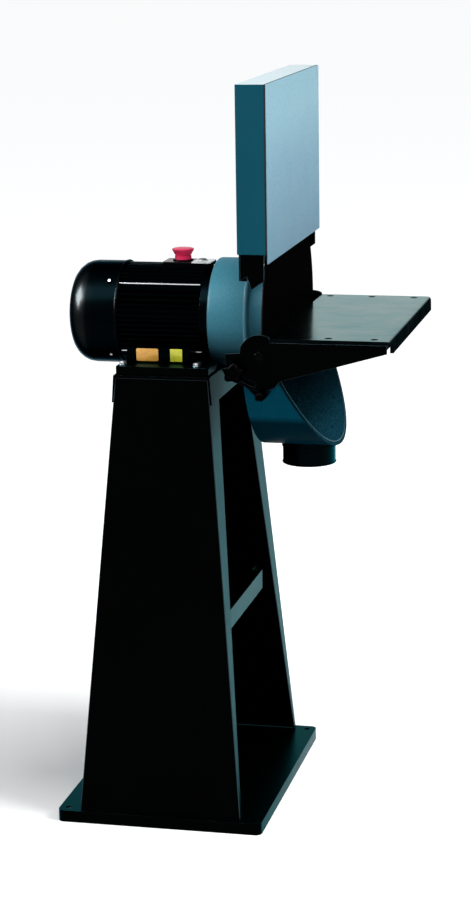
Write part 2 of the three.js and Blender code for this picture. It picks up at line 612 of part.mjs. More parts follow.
function trunnion(side) {
  const { bossPivot, bossStud } = TRUNNION;
  const [tx, tz] = TILT_STUD;
  const [bx, bz] = BRACKET_STUD;
  const outline = [
    ...arc(PIVOT.x, PIVOT.z, bossPivot, -5, 125, 8), ...arc(tx, tz, bossStud, 125, 230, 6),
    ...arc(bx, bz, bossStud, 230, 355, 6),
  ];
  const [y0, y1] = span(side, 190, TRUNNION.outer);
  const [h0, h1] = span(side, 180, TRUNNION.outer + 1);
  const hole = (x, z, r) => rod('y', h0, h1, r, x, z, SEGMENTS.small);
  return cut(slab('xz', outline, y0, y1), [
    shaftRod(-FAR_OUT, FAR_OUT, SHROUD.r + SEAT, SEGMENTS.fine),
    hole(PIVOT.x, PIVOT.z, PIVOT.r + RUN), hole(tx, tz, KNOB.studR + RUN), hole(bx, bz, KNOB.studR + RUN),
  ]);
}

function pivotBolt(side) {
  const seat = SIDE_OUTER + SEAT;
  const [h0, h1] = span(side, seat, seat + PIVOT.headH);
  const [s0, s1] = span(side, SHROUD.r + SEAT, seat + 1);
  return union([
    hexPrism('y', h0, h1, PIVOT.headR, PIVOT.x, PIVOT.z),
    rod('y', s0, s1, PIVOT.r, PIVOT.x, PIVOT.z, SEGMENTS.small),
  ]);
}

// The rim of a hand knob: its radius swells and shrinks once for each lobe.
function lobedOutline(a, b, { lobes, lobeSteps, r, lobeDepth }) {
  return Array.from({ length: lobes * lobeSteps }, (_, i) => {
    const angle = (2 * Math.PI * i) / (lobes * lobeSteps);
    const rim = r + lobeDepth * Math.cos(lobes * angle - 0.6);
    return [a + rim * Math.cos(angle), b + rim * Math.sin(angle)];
  });
}

// A lobed hand knob with its stud. It stands on the plane at the distance `at` on the given side of zero,
// and its stud reaches back to studEnd.
function knob(axis, side, at, studEnd, a, b, size = KNOB) {
  const { neck, length, neckR, studR } = size;
  const piece = (inner, outer, r) => rod(axis, ...span(side, inner, outer), r, a, b, SEGMENTS.tiny);
  return union([
    piece(studEnd, at + 1, studR),
    piece(at, at + neck + 1, neckR),
    slab(axis === 'y' ? 'xz' : 'yz', lobedOutline(a, b, size), ...span(side, at + neck, at + neck + length)),
  ]);
}

const TABLE_UNDERSIDE = AXIS_Z - TABLE.t;

function tableTop() {
  const { x0, x1, halfWidth, t, lip, lipT, fold, lipNear, lipFar, corner } = TABLE;
  const outline = [
    [x0, TABLE_UNDERSIDE], [x0, AXIS_Z - 1], [x0 + 1, AXIS_Z],
    ...arc(x1 - fold, AXIS_Z - fold, fold, 90, 0, 5), [x1, AXIS_Z - lip],
    [x1 - lipT, AXIS_Z - lip], [x1 - lipT, TABLE_UNDERSIDE],
  ];
  const body = slab('xz', outline.reverse(), -halfWidth, halfWidth);
  const behindLip = x1 - lipT - 1;
  const lipBottom = AXIS_Z - lip - 1;
  const reliefs = [[-halfWidth - 1, lipNear], [lipFar, halfWidth + 1]].map(([y0, y1]) => (
    block(behindLip, x1 + 1, y0, y1, lipBottom, TABLE_UNDERSIDE)));
  const offCorner = slab('xy', [
    [x1 - corner, halfWidth + 1], ...arc(x1 - corner, halfWidth - corner, corner, 90, 0, 5), [x1 + 1, halfWidth - corner],
    [x1 + 1, halfWidth + 1],
  ], TABLE_UNDERSIDE - 1, AXIS_Z + 1);
  const holes = tableScrewSpots().flatMap(([x, y]) => [
    rod('z', TABLE_UNDERSIDE - 1, AXIS_Z + 1, TABLE_SCREW.r + SEAT, x, y, SEGMENTS.tiny),
    countersink(x, y, SEAT),
  ]);
  return cut(body, [...reliefs, offCorner, ...holes]);
}

function tableScrewSpots() {
  return SIDES.flatMap(([, side]) => TABLE_SCREW.x.map((x) => [x, side * TABLE_SCREW.y]));
}

// A 45 degree cone: the head is as much wider than the shank as it is tall.
function countersink(x, y, gap) {
  const { r, headH, recess } = TABLE_SCREW;
  const neck = r + 1.5 * gap;
  const bottom = AXIS_Z - recess - headH;
  return turned([
    [bottom, 0], [bottom, neck], [AXIS_Z + 1, neck + headH + recess + 1], [AXIS_Z + 1, 0],
  ], SEGMENTS.tiny, 'z', x, y);
}

function tableScrew(x, y) {
  const { r, headH, recess, length } = TABLE_SCREW;
  const top = AXIS_Z - recess;
  return turned([
    [AXIS_Z - length, 0], [AXIS_Z - length, r], [top - headH, r], [top, r + headH], [top, 0],
  ], SEGMENTS.tiny, 'z', x, y);
}

function tableSide(side) {
  const { flangeT, flangeInner, x0, x1, z1, kneeX, kneeZ } = SIDE;
  const { topR, lobeR, backX } = QUADRANT;
  const flangeTop = TABLE_UNDERSIDE - SEAT;
  const topStart = THREE.MathUtils.radToDeg(Math.acos((TABLE.x0 - 1 - PIVOT.x) / topR));
  const topEnd = THREE.MathUtils.radToDeg(Math.acos((backX - PIVOT.x + 1) / topR));
  const outline = [
    [x1, flangeTop], [x0 - 6, flangeTop], ...arc(PIVOT.x, PIVOT.z, topR, topStart, topEnd, 8),
    [backX, PIVOT.z + 4], ...arc(PIVOT.x, PIVOT.z, lobeR, 178, 296, 14), [kneeX, kneeZ], [x1, z1],
  ];
  const [y0, y1] = span(side, SIDE_INNER, SIDE_OUTER);
  const [g0, g1] = span(side, flangeInner, SIDE_OUTER);
  const plate = slab('xz', outline, y0, y1);
  const flange = block(x0, x1, g0, g1, flangeTop - flangeT, flangeTop);
  const holes = TABLE_SCREW.x.map((x) => (
    rod('z', flangeTop - flangeT - 1, flangeTop + 1, TABLE_SCREW.r + SEAT, x, side * TABLE_SCREW.y, SEGMENTS.tiny)));
  const slot = slab('xz', [
    ...arc(PIVOT.x, PIVOT.z, SLOT.r + SLOT.width / 2, SLOT.from, SLOT.to, 18),
    ...arc(PIVOT.x, PIVOT.z, SLOT.r - SLOT.width / 2, SLOT.to, SLOT.from, 18),
  ], y0 - 1, y1 + 1);
  return cut(union([plate, flange]), [
    slot, rod('y', y0 - 1, y1 + 1, PIVOT.r + RUN, PIVOT.x, PIVOT.z, SEGMENTS.small), ...holes]);
}

// ---------------------------------------------------------------- guard
const GUARD_INNER = GUARD.halfWidth - GUARD.sheet;
const CHANNEL_HALF = GUARD_INNER - CHANNEL.gap;

function guardCover() {
  const { x0, x1, halfWidth, bottom, top, sheet, returnW, slotHalf, slotTop } = GUARD;
  const outer = block(x0, x1, -halfWidth, halfWidth, bottom, top);
  const hollow = block(x0 + sheet, x1 - sheet, -GUARD_INNER, GUARD_INNER, bottom - 1, top - sheet);
  const mouth = block(x1 - sheet - 1, x1 + 1, -halfWidth + returnW, halfWidth - returnW, bottom - 1, top - returnW);
  const rearSlot = block(x0 - 1, x0 + sheet + 1, -slotHalf, slotHalf, bottom - 1, slotTop);
  const { y, z, slotHalf: half } = GUARD_STUD;
  const studSlot = block(x0 - 1, x0 + sheet + 1, y - half, y + half, z - half, z + GUARD_TRAVEL + half);
  return cut(outer, [hollow, mouth, rearSlot, studSlot]);
}

const GASKET_X = GUARD.x1 + SEAT;
const FACE_X = GASKET_X + GASKET.t + SEAT;

function guardGasket() {
  const { halfWidth, bottom, top } = GUARD;
  return cut(block(GASKET_X, GASKET_X + GASKET.t, -halfWidth, halfWidth, bottom, top), [
    block(GASKET_X - 1, FACE_X, -halfWidth + GASKET.w, halfWidth - GASKET.w, bottom - 1, top - GASKET.w)]);
}

function guardFrontPlate() {
  return block(FACE_X, FACE_X + FACE.t, -GUARD.halfWidth, GUARD.halfWidth, FACE.bottom, GUARD.top);
}

// The fixed channel that the guard slides on. Its two side walls end in a pair of slanted lugs.
function guardChannel() {
  const { back, sheet, front, bottom, top } = CHANNEL;
  const outer = block(back, front, -CHANNEL_HALF, CHANNEL_HALF, bottom - 20, top);
  const hollow = block(back + sheet, front + 1, -CHANNEL_HALF + sheet, CHANNEL_HALF - sheet, bottom - 21, top + 1);
  const under = slab('xz', [
    [back - 1, bottom - 21], [front + 1, bottom - 21], [front + 1, bottom + 2], [back + 20, bottom - 14],
    [back + 12, bottom + 9], [back - 1, bottom],
  ], -FAR_OUT, FAR_OUT);
  const stud = rod('x', back - 1, back + sheet + 1, KNOB.studR + RUN, GUARD_STUD.y, GUARD_STUD.z, SEGMENTS.small);
  return cut(outer, [hollow, under, stud]);
}

function guardPost() {
  const { x0, x1, half, top, bottom, armHalf, armH } = POST;
  return cut(union([
    block(x0, x1, -half, half, bottom, top),
    block(x1 - 1, CHANNEL.back - SEAT, -armHalf, armHalf, top - armH, top),
  ]), [
    shaftRod(DRUM.x0, DRUM.x1 + 1, DRUM.r + SEAT, SEGMENTS.fine), shaftRod(DRUM.x1, 0, HUB.r + SEAT, SEGMENTS.fine),
  ]);
}

// ---------------------------------------------------------------- switch
const SWITCH_BOX_Z = SWITCH.padZ + SEAT;
const SWITCH_PLATE_Z = SWITCH_BOX_Z + SWITCH.boxH + SEAT;
const SWITCH_TOP = SWITCH_PLATE_Z + SWITCH.plateT;

function switchBox() {
  const { x0, x1, half, boxH, wall } = SWITCH;
  return cut(block(x0, x1, -half, half, SWITCH_BOX_Z, SWITCH_BOX_Z + boxH), [
    block(x0 + wall, x1 - wall, -half + wall, half - wall, SWITCH_BOX_Z + wall, SWITCH_BOX_Z + boxH + 1)]);
}

function switchPlate() {
  const { x0, x1, half } = SWITCH;
  const plate = slab('xy', roundedRectangle(x0, x1, -half, half, 3, 3), SWITCH_PLATE_Z, SWITCH_TOP);
  return cut(plate, [
    rod('z', SWITCH_PLATE_Z - 1, SWITCH_TOP + 1, ESTOP.neckR + SEAT, ESTOP.x, 0, SEGMENTS.small),
    rod('z', SWITCH_PLATE_Z - 1, SWITCH_TOP + 1, START.r + SEAT, START.x, 0, SEGMENTS.small),
  ]);
}

function estopCollar() {
  const z = SWITCH_TOP + SEAT;
  return turned([
    [z, ESTOP.neckR + SEAT], [z, ESTOP.collarR], [z + 1, ESTOP.collarR], [z + 2, ESTOP.collarR - 2],
    [z + 2, ESTOP.neckR + SEAT],
  ], SEGMENTS.small, 'z', ESTOP.x, 0);
}

function estopMushroom() {
  const { neckR, rimR, neckH, capH } = ESTOP;
  const z = SWITCH_TOP + SEAT + 1;
  const bottom = SWITCH_PLATE_Z + 0.5;
  return turned([
    [bottom, 0], [bottom, neckR], [z + neckH - 0.6, neckR], [z + neckH, neckR - 0.9],
    [z + neckH + 0.6, neckR], [z + neckH + 7, rimR], [z + neckH + 8.4, rimR], [z + neckH + 10.6, rimR - 5],
    [z + neckH + capH, rimR - 12], [z + neckH + capH, 0],
  ], SEGMENTS.medium, 'z', ESTOP.x, 0);
}

function startButton() {
  const { x, r, rise } = START;
  const bottom = SWITCH_PLATE_Z - 1.3;
  return turned([
    [bottom, 0], [bottom, r], [SWITCH_TOP + rise - 1, r], [SWITCH_TOP + rise, r - 1], [SWITCH_TOP + rise, 0],
  ], SEGMENTS.small, 'z', x, 0);
}

// ---------------------------------------------------------------- assembly
add('base_plate', basePlate(), BLACK);
add('column_shell', columnShell(), BLACK);
add('column_crossbar', columnCrossbar(), BLACK);
add('column_cap', columnCap(), BLACK);
add('motor_cradle', motorCradle(), BLACK);
cradleBoltSpots().forEach(([x, y], i) => add(`cradle_bolt_${i + 1}`, cradleBolt(x, y), STEEL));

add('stator_housing', stator(), BLACK);
add('stator_core', statorCore(), STEEL);
add('stator_winding', statorWinding(), COPPER);
add('rotor', rotor(), STEEL);
add('motor_shaft', motorShaft(), STEEL);
add('shaft_key', shaftKey(), STEEL);
add('bearing_rear', bearing(BEARING.rearX), STEEL);
add('bearing_front', bearing(BEARING.frontX), STEEL);
add('end_shield_rear', endShieldRear(), BLACK);
add('end_shield_front', endShieldFront(), BLACK);
add('cooling_fan', coolingFan(), PLASTIC);
add('fan_cowl', fanCowl(), BLACK);
cowlScrewAngles.forEach((a, i) => add(`cowl_screw_${i + 1}`, cowlScrew(a), STEEL));

add('drum_housing', drumHousing(), TEAL);
add('disc_flange', discFlange(), STEEL);
add('backing_plate', backingPlate(), BLACK);
add('abrasive_disc', abrasiveDisc(), ABRASIVE);
add('disc_screw', discScrew(), STEEL);

add('dust_shroud', dustShroud(), TEAL);
add('chute_front_plate', chuteFrontPlate(), DARK_TEAL);
add('dust_spigot', dustSpigot(), DARK_TEAL);

for (const [name, side] of SIDES) {
  add(`trunnion_${name}`, trunnion(side), BLACK);
  add(`pivot_bolt_${name}`, pivotBolt(side), STEEL);
  add(`table_side_${name}`, tableSide(side), BLACK);
  add(`tilt_knob_${name}`, knob('y', side, SIDE_OUTER + SEAT, SHROUD.r - 5, ...TILT_STUD), PLASTIC);
}
add('bracket_knob', knob('y', -1, SIDE_OUTER + SEAT, SHROUD.r - 8, ...BRACKET_STUD, SMALL_KNOB), PLASTIC);
add('table_top', tableTop(), TABLE_BLACK);
tableScrewSpots().forEach(([x, y], i) => add(`table_screw_${i + 1}`, tableScrew(x, y), STEEL));

add('guard_cover', guardCover(), TEAL);
add('guard_gasket', guardGasket(), RUBBER);
add('guard_front_plate', guardFrontPlate(), PALE);
add('guard_channel', guardChannel(), BLACK);
add('guard_post', guardPost(), BLACK);
add('guard_knob', knob('x', -1, -GUARD.x0 + SEAT, -CHANNEL.back - CHANNEL.sheet - 1, GUARD_STUD.y, GUARD_STUD.z),
  PLASTIC);

add('switch_box', switchBox(), PLASTIC);
add('switch_plate', switchPlate(), SWITCH_GREY);
add('estop_collar', estopCollar(), PLASTIC);
add('estop_mushroom', estopMushroom(), RED);
add('start_button', startButton(), GREEN);

model.position.x = -(COWL.rear + TABLE.x1) / 2;

export default model;
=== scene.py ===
"""Looks of the disc sander: materials, modelled detail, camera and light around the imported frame.

Metres, +Z up, +X from the motor to the disc; the shaft lies in the plane Y = 0. Lengths written
in millimetres go through mm(). Colours are linear.
"""
import json
import math

import bmesh
import bpy
from mathutils import Matrix, Vector


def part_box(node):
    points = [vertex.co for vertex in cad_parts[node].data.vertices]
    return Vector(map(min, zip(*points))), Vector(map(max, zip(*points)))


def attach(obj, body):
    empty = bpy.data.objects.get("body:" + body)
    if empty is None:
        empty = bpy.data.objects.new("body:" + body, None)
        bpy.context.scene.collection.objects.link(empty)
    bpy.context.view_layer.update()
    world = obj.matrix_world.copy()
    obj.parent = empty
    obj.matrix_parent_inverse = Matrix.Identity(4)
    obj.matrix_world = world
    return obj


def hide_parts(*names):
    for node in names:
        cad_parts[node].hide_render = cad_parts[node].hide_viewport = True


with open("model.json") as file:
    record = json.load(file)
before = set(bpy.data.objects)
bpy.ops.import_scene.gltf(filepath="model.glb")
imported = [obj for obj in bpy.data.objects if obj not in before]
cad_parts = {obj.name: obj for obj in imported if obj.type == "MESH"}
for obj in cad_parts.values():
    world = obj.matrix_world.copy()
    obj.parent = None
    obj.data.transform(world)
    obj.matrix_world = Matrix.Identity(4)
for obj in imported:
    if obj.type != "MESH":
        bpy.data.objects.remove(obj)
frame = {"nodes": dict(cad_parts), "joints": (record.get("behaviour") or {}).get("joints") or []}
NODES = frame["nodes"]
JOINTS = {joint["name"]: joint for joint in frame["joints"]}
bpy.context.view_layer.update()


def mm(value):
    return value / 1000.0


# ---------------------------------------------------------------- places taken from the frame
class Box:
    """The ends and the middle of a CAD node at rest."""

    def __init__(self, node):
        low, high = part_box(node)
        self.x0, self.y0, self.z0 = low
        self.x1, self.y1, self.z1 = high
        self.cx, self.cy, self.cz = (low + high) / 2


DISC = Box("abrasive_disc")
COWL = Box("fan_cowl")
STATOR = Box("stator_housing")
DRUM = Box("drum_housing")
GUARD_PLATE = Box("guard_front_plate")
CHUTE_PLATE = Box("chute_front_plate")
SPIGOT = Box("dust_spigot")
BASE = Box("base_plate")
LID = Box("switch_plate")
MUSHROOM = Box("estop_mushroom")
START = Box("start_button")
SHAFT_Z = DISC.cz
SANDING_X = DISC.x1             # sanding face, from which the camera, lamps and floor are placed


# ---------------------------------------------------------------- shader helpers
PEEL_SCALE = 420.0              # orange peel of a sprayed film
PEEL_DEPTH = mm(0.15)
CELL_DEPTH = mm(0.25)           # relief of hammertone
GRAIN_SCALE = 1400.0            # spark-eroded grain of moulded plastic
GRAIN_DEPTH = mm(0.06)


def nodes_of(name):
    """A new material, its node tree and its surface shader."""
    material = bpy.data.materials.new(name)
    material.use_nodes = True
    tree = material.node_tree
    return material, tree, tree.nodes["Principled BSDF"]


def set_inputs(tree, shader, values):
    """Sets a shader's inputs: links one that is given as a socket, and sets the rest as values."""
    for name, value in values.items():
        if isinstance(value, bpy.types.NodeSocket):
            tree.links.new(value, shader.inputs[name])
        else:
            shader.inputs[name].default_value = value


def opaque(color):
    return (*color, 1.0)


def shade(color, share):
    return tuple(min(1.0, c * share) for c in color)


def coordinates(tree, kind="Object"):
    return tree.nodes.new("ShaderNodeTexCoord").outputs[kind]


def component(tree, kind, axis):
    """One axis of the object coordinates or of the normal."""
    parts = tree.nodes.new("ShaderNodeSeparateXYZ")
    tree.links.new(coordinates(tree, kind), parts.inputs["Vector"])
    return parts.outputs[axis]


def stretched(tree, factors):
    """Object coordinates multiplied along each axis."""
    mapping = tree.nodes.new("ShaderNodeMapping")
    mapping.inputs["Scale"].default_value = factors
    tree.links.new(coordinates(tree), mapping.inputs["Vector"])
    return mapping.outputs["Vector"]


def noise(tree, scale, detail, roughness=0.5, vector=None):
    node = tree.nodes.new("ShaderNodeTexNoise")
    node.inputs["Scale"].default_value = scale
    node.inputs["Detail"].default_value = detail
    node.inputs["Roughness"].default_value = roughness
    if vector is None:
        vector = coordinates(tree)
    tree.links.new(vector, node.inputs["Vector"])
    return node.outputs["Fac"]


def cells(tree, scale, feature="SMOOTH_F1"):
    """Distance to the middle of the nearest of many small cells."""
    node = tree.nodes.new("ShaderNodeTexVoronoi")
    node.feature = feature
    node.inputs["Scale"].default_value = scale
    tree.links.new(coordinates(tree), node.inputs["Vector"])
    return node.outputs["Distance"]


def calculated(tree, operation, *values, clamp=False):
    node = tree.nodes.new("ShaderNodeMath")
    node.operation = operation
    node.use_clamp = clamp
    for value, socket in zip(values, node.inputs):
        tree.links.new(value, socket)
    return node.outputs["Value"]


def multiplied(tree, color, by):
    """The product of two colours."""
    mix = tree.nodes.new("ShaderNodeMix")
    mix.data_type = "RGBA"
    mix.blend_type = "MULTIPLY"
    mix.inputs["Factor"].default_value = 1.0
    tree.links.new(color, mix.inputs["A"])
    tree.links.new(by, mix.inputs["B"])
    return mix.outputs["Result"]


def remap(tree, value, old, new):
    """Maps the range old to the range new, and holds what lies outside old at its ends."""
    node = tree.nodes.new("ShaderNodeMapRange")
    for name, end in zip(("From Min", "From Max", "To Min", "To Max"), (*old, *new)):
        node.inputs[name].default_value = end
    tree.links.new(value, node.inputs["Value"])
    return node.outputs["Result"]


def spread(tree, factor, low, high):
    """Maps a 0 to 1 value to the range low to high."""
    return remap(tree, factor, (0.0, 1.0), (low, high))


def part_way(tree, value, low, high):
    """Maps the range low to high to 0 to 1."""
    return remap(tree, value, (low, high), (0.0, 1.0))


def ramp(tree, factor, stops):
    """A colour from a 0 to 1 value; stops are (value, colour)."""
    node = tree.nodes.new("ShaderNodeValToRGB")
    elements = node.color_ramp.elements
    while len(elements) < len(stops):
        elements.new(0.5)
    for element, (position, color) in zip(elements, stops):
        element.position = position
        element.color = opaque(color)
    tree.links.new(factor, node.inputs["Fac"])
    return node.outputs["Color"]


def toned(tree, factor, color, *stops):
    """A colour made darker or lighter by a 0 to 1 value; stops are (value, share of the colour)."""
    return ramp(tree, factor, [(value, shade(color, share)) for value, share in stops])


def painted_height_shade(tree, color, stops):
    """Painted shade: darkens a colour by its height above the shaft; stops are (millimetres, share
    that stays).
    """
    low, high = stops[0][0], stops[-1][0]
    height = part_way(tree, component(tree, "Object", "Z"), SHAFT_Z + mm(low), SHAFT_Z + mm(high))
    share = ramp(tree, height, [((z - low) / (high - low), (kept,) * 3) for z, kept in stops])
    return multiplied(tree, color, share)


def bump(tree, height, strength, distance):
    node = tree.nodes.new("ShaderNodeBump")
    node.inputs["Strength"].default_value = strength
    node.inputs["Distance"].default_value = distance
    tree.links.new(height, node.inputs["Height"])
    return node.outputs["Normal"]


# ---------------------------------------------------------------- kinds of surface
def painted(name, color, roughness, peel, specular):
    """Powder coat: a faint orange peel, uneven gloss and a slight drift of colour."""
    material, tree, surface = nodes_of(name)
    set_inputs(tree, surface, {
        "Base Color": toned(tree, noise(tree, 6.0, 3.0), color, (0.3, 0.92), (0.7, 1.08)),
        "Roughness": spread(tree, noise(tree, 14.0, 5.0), roughness * 0.85, roughness * 1.15),
        "Specular IOR Level": specular,
        "Normal": bump(tree, noise(tree, PEEL_SCALE, 2.0), peel, PEEL_DEPTH),
    })
    return material


def set_lacquer(tree, surface, tint, roughness, grazing, peel, clouds):
    """Next to nothing comes back head-on, and a reflection tinted by grazing at a low angle."""
    set_inputs(tree, surface, {
        "Base Color": tint,
        "Metallic": 1.0,
        "Specular Tint": opaque(grazing),
        "Roughness": spread(tree, noise(tree, 11.0, 5.0, 0.6),
                            roughness * (1 - clouds), roughness * (1 + clouds)),
        "Normal": bump(tree, noise(tree, PEEL_SCALE, 2.0), peel, PEEL_DEPTH),
    })


def lacquer(name, color, roughness, grazing, peel, clouds=0.0):
    """Black lacquer with a slight drift of colour."""
    material, tree, surface = nodes_of(name)
    tint = toned(tree, noise(tree, 6.0, 3.0), color, (0.3, 0.85), (0.7, 1.15))
    set_lacquer(tree, surface, tint, roughness, grazing, peel, clouds)
    return material


def motor_enamel(color, wear_and_sheen, roughness, grazing):
    """Black lacquer with a painted highlight: brighter where the sheet turns over a rounded corner.
    """
    material, tree, surface = nodes_of("motor_black_enamel")
    along = calculated(tree, "ABSOLUTE", component(tree, "Normal", "X"))
    # painted highlight: the brighter tint lies where the normal leans along X, on rounded corners
    tint = ramp(tree, along, [(0.05, color), (0.2, wear_and_sheen), (0.85, wear_and_sheen), (0.97, color)])
    set_lacquer(tree, surface, tint, roughness, grazing, peel=0.04, clouds=0.2)
    return material


def set_hammertone(tree, surface, tint, relief, gloss, specular, strength):
    """Small shallow cells under a film with uneven gloss; gloss is a range of roughness."""
    set_inputs(tree, surface, {
        "Base Color": tint,
        "Roughness": spread(tree, noise(tree, 18.0, 4.0), *gloss),
        "Specular IOR Level": specular,
        "Normal": bump(tree, relief, strength, CELL_DEPTH),
    })


def hammered(name, color, roughness, strength, scale, specular, painted_shade_stops, contrast=1.0):
    """Hammertone enamel with painted shade: its colour is darkened by height above the shaft."""
    material, tree, surface = nodes_of(name)
    relief = cells(tree, scale)
    tint = toned(tree, relief, color, (0.1, 1 + 0.12 * contrast), (0.7, 1 - 0.2 * contrast))
    set_hammertone(tree, surface, painted_height_shade(tree, tint, painted_shade_stops), relief,
                   (roughness * 0.85, roughness * 1.15), specular, strength)
    return material


def metal(name, color, roughness, grain=(40.0, 40.0, 40.0), strength=0.15):
    """Bare metal with a machined grain along the axis that has the smallest factor."""
    material, tree, surface = nodes_of(name)
    lines = noise(tree, 14.0, 6.0, 0.7, stretched(tree, grain))
    set_inputs(tree, surface, {
        "Base Color": toned(tree, lines, color, (0.25, 0.82), (0.75, 1.1)),
        "Metallic": 1.0,
        "Roughness": spread(tree, lines, roughness * 0.75, roughness * 1.3),
        "Normal": bump(tree, lines, strength, mm(0.05)),
    })
    return material


def set_plastic(tree, surface, tint, gloss, specular, grain):
    """Uneven gloss and a fine spark-eroded grain; gloss is a range of roughness."""
    set_inputs(tree, surface, {
        "Base Color": tint,
        "Roughness": spread(tree, noise(tree, 90.0, 3.0), *gloss),
        "Specular IOR Level": specular,
        "Normal": bump(tree, noise(tree, GRAIN_SCALE, 2.0), grain, GRAIN_DEPTH),
    })


def moulded(name, color, roughness, grain, specular=0.5):
    """Moulded plastic with a slight drift of colour."""
    material, tree, surface = nodes_of(name)
    tint = toned(tree, noise(tree, 30.0, 3.0), color, (0.3, 0.92), (0.7, 1.08))
    set_plastic(tree, surface, tint, (roughness * 0.85, roughness * 1.2), specular, grain)
    return material


def plain_label(name, color):
    """A bare printed plate: slightly uneven ink under a clear film."""
    material, tree, surface = nodes_of(name)
    set_inputs(tree, surface, {
        "Base Color": toned(tree, noise(tree, 220.0, 3.0), color, (0.3, 0.9), (0.7, 1.05)),
        "Roughness": 0.35,
        "Coat Weight": 0.4,
    })
    return material


def abrasive_cloth():
    """Black grit in resin: nearly black grains, a few of them brighter, with a rough relief."""
    material, tree, surface = nodes_of("abrasive_grit")
    dark, middle, bright = (0.0008, 0.0008, 0.001), (0.002, 0.002, 0.0022), (0.012, 0.012, 0.012)
    speckle = noise(tree, 1600.0, 3.0, 0.6)
    set_inputs(tree, surface, {
        "Base Color": ramp(tree, speckle, [(0.35, dark), (0.62, middle), (0.8, bright)]),
        "Roughness": 0.7,
        "Metallic": 1.0,
        "Specular Tint": opaque((0.03, 0.03, 0.032)),
        "Normal": bump(tree, cells(tree, 1100.0, "F1"), 0.8, mm(0.3)),
    })
    return material


def table_paint():
    """Black gloss paint, worn by use: cloudy gloss, hairline scratches and a tinted sheen.

    The lip and the other upright faces are painted dark with no reflection, a painted shade; the
    top keeps its gloss.
    """
    material, tree, surface = nodes_of("table_lacquer")
    up = component(tree, "Normal", "Z")
    clouds = noise(tree, 16.0, 7.0, 0.7, stretched(tree, (1.0, 1.6, 1.0)))
    scratches = noise(tree, 60.0, 6.0, 0.75, stretched(tree, (1.5, 26.0, 1.0)))
    clean, wear_and_sheen, worn = (0.001, 0.002, 0.0022), (0.002, 0.0045, 0.005), (0.009, 0.015, 0.016)
    set_inputs(tree, surface, {
        # painted shade: faces that don't point up lose the metal reflection
        "Metallic": ramp(tree, up, [(0.8, (0.0, 0.0, 0.0)), (0.99, (1.0, 1.0, 1.0))]),
        "Specular IOR Level": 0.0,
        "Base Color": ramp(tree, clouds, [(0.35, clean), (0.6, wear_and_sheen), (0.8, worn)]),
        "Specular Tint": ramp(tree, clouds, [(0.3, (0.58, 0.85, 0.86)), (0.6, (0.8, 1.0, 1.0))]),
        "Roughness": spread(tree, calculated(tree, "MULTIPLY", clouds, scratches), 0.1, 0.36),
        "Normal": bump(tree, scratches, 0.08, mm(0.04)),
    })
    return material


def switch_paint():
    """The switch box's lid: gloss black beside the stop button, pale beside the start button."""
    material, tree, surface = nodes_of("switch_lid_two_tone")
    along = part_way(tree, component(tree, "Object", "X"), LID.x0, LID.x1)
    black, pale = (0.004, 0.005, 0.005), (0.93, 0.96, 0.96)
    tint = ramp(tree, along, [(0.6, black), (0.61, pale)])
    set_plastic(tree, surface, tint, gloss=(0.14, 0.2), specular=0.08, grain=0.03)
    return material


def guard_paint(side, top):
    """Teal hammertone painted pale on the faces that point up: a painted highlight of the light
    from above.
    """
    material, tree, surface = nodes_of("guard_teal_hammertone")
    # painted highlight: faces that point up take the pale top colour
    tint = ramp(tree, component(tree, "Normal", "Z"), [(0.6, side), (0.95, top)])
    clouds = ramp(tree, noise(tree, 7.0, 4.0), [(0.3, (0.88, 0.9, 0.92)), (0.7, (1.0, 1.0, 1.0))])
    set_hammertone(tree, surface, multiplied(tree, tint, clouds), cells(tree, 260.0),
                   gloss=(0.36, 0.46), specular=0.05, strength=0.1)
    return material


def pale_paint():
    """Pale blue hammertone with painted shade: it darkens slowly toward the plate's lower edge."""
    material, tree, surface = nodes_of("pale_blue_hammertone")
    height = part_way(tree, component(tree, "Object", "Z"), GUARD_PLATE.z0, GUARD_PLATE.z1)
    lower, middle, upper = (0.09, 0.21, 0.29), (0.15, 0.3, 0.39), (0.21, 0.39, 0.47)
    tint = ramp(tree, height, [(0.0, lower), (0.5, middle), (0.8, upper)])
    relief = cells(tree, 230.0)
    fleck = ramp(tree, relief, [(0.1, (1.06, 1.05, 1.04)), (0.7, (0.86, 0.88, 0.9))])
    set_hammertone(tree, surface, multiplied(tree, tint, fleck), relief,
                   gloss=(0.42, 0.54), specular=0.15, strength=0.12)
    return material


# ---------------------------------------------------------------- the materials
BLACK = lacquer("black_powder_coat", (0.0006, 0.0007, 0.0008), 0.3, (0.46, 0.65, 0.68),
                peel=0.1, clouds=0.2)
# worn edge film, which is partly a painted highlight along the edges of black parts
BLACK_EDGE = lacquer("black_powder_coat_edge", (0.022, 0.036, 0.042), 0.3, (0.6, 0.74, 0.78),
                     peel=0.1, clouds=0.2)
# the second colour is the painted highlight on the motor's rounded corners
MOTOR_BLACK = motor_enamel((0.0003, 0.001, 0.0013), (0.0045, 0.005, 0.0052), 0.24,
                           (0.34, 0.42, 0.45))
BOLT_BLACK = lacquer("black_oxide_steel", (0.0014, 0.0015, 0.0017), 0.25, (0.2, 0.25, 0.28),
                     peel=0.05)
SPIGOT_PAINT = lacquer("spigot_paint", (0.0004, 0.0014, 0.0018), 0.24, (0.42, 0.72, 0.8),
                       peel=0.05)
PLASTIC = lacquer("black_phenolic", (0.0008, 0.0008, 0.0009), 0.2, (0.1, 0.12, 0.14),
                  peel=0.03, clouds=0.2)
# painted shade: the drum's colour darkens toward its underside
DRUM_TEAL = hammered("drum_teal_hammertone", (0.08, 0.33, 0.44), 0.42, strength=0.07,
                     scale=420.0, specular=0.03, contrast=0.6,
                     painted_shade_stops=((-100, 0.03), (-70, 0.06), (-58, 0.15), (-44, 0.4), (-10, 0.74),
                           (50, 1.0)))
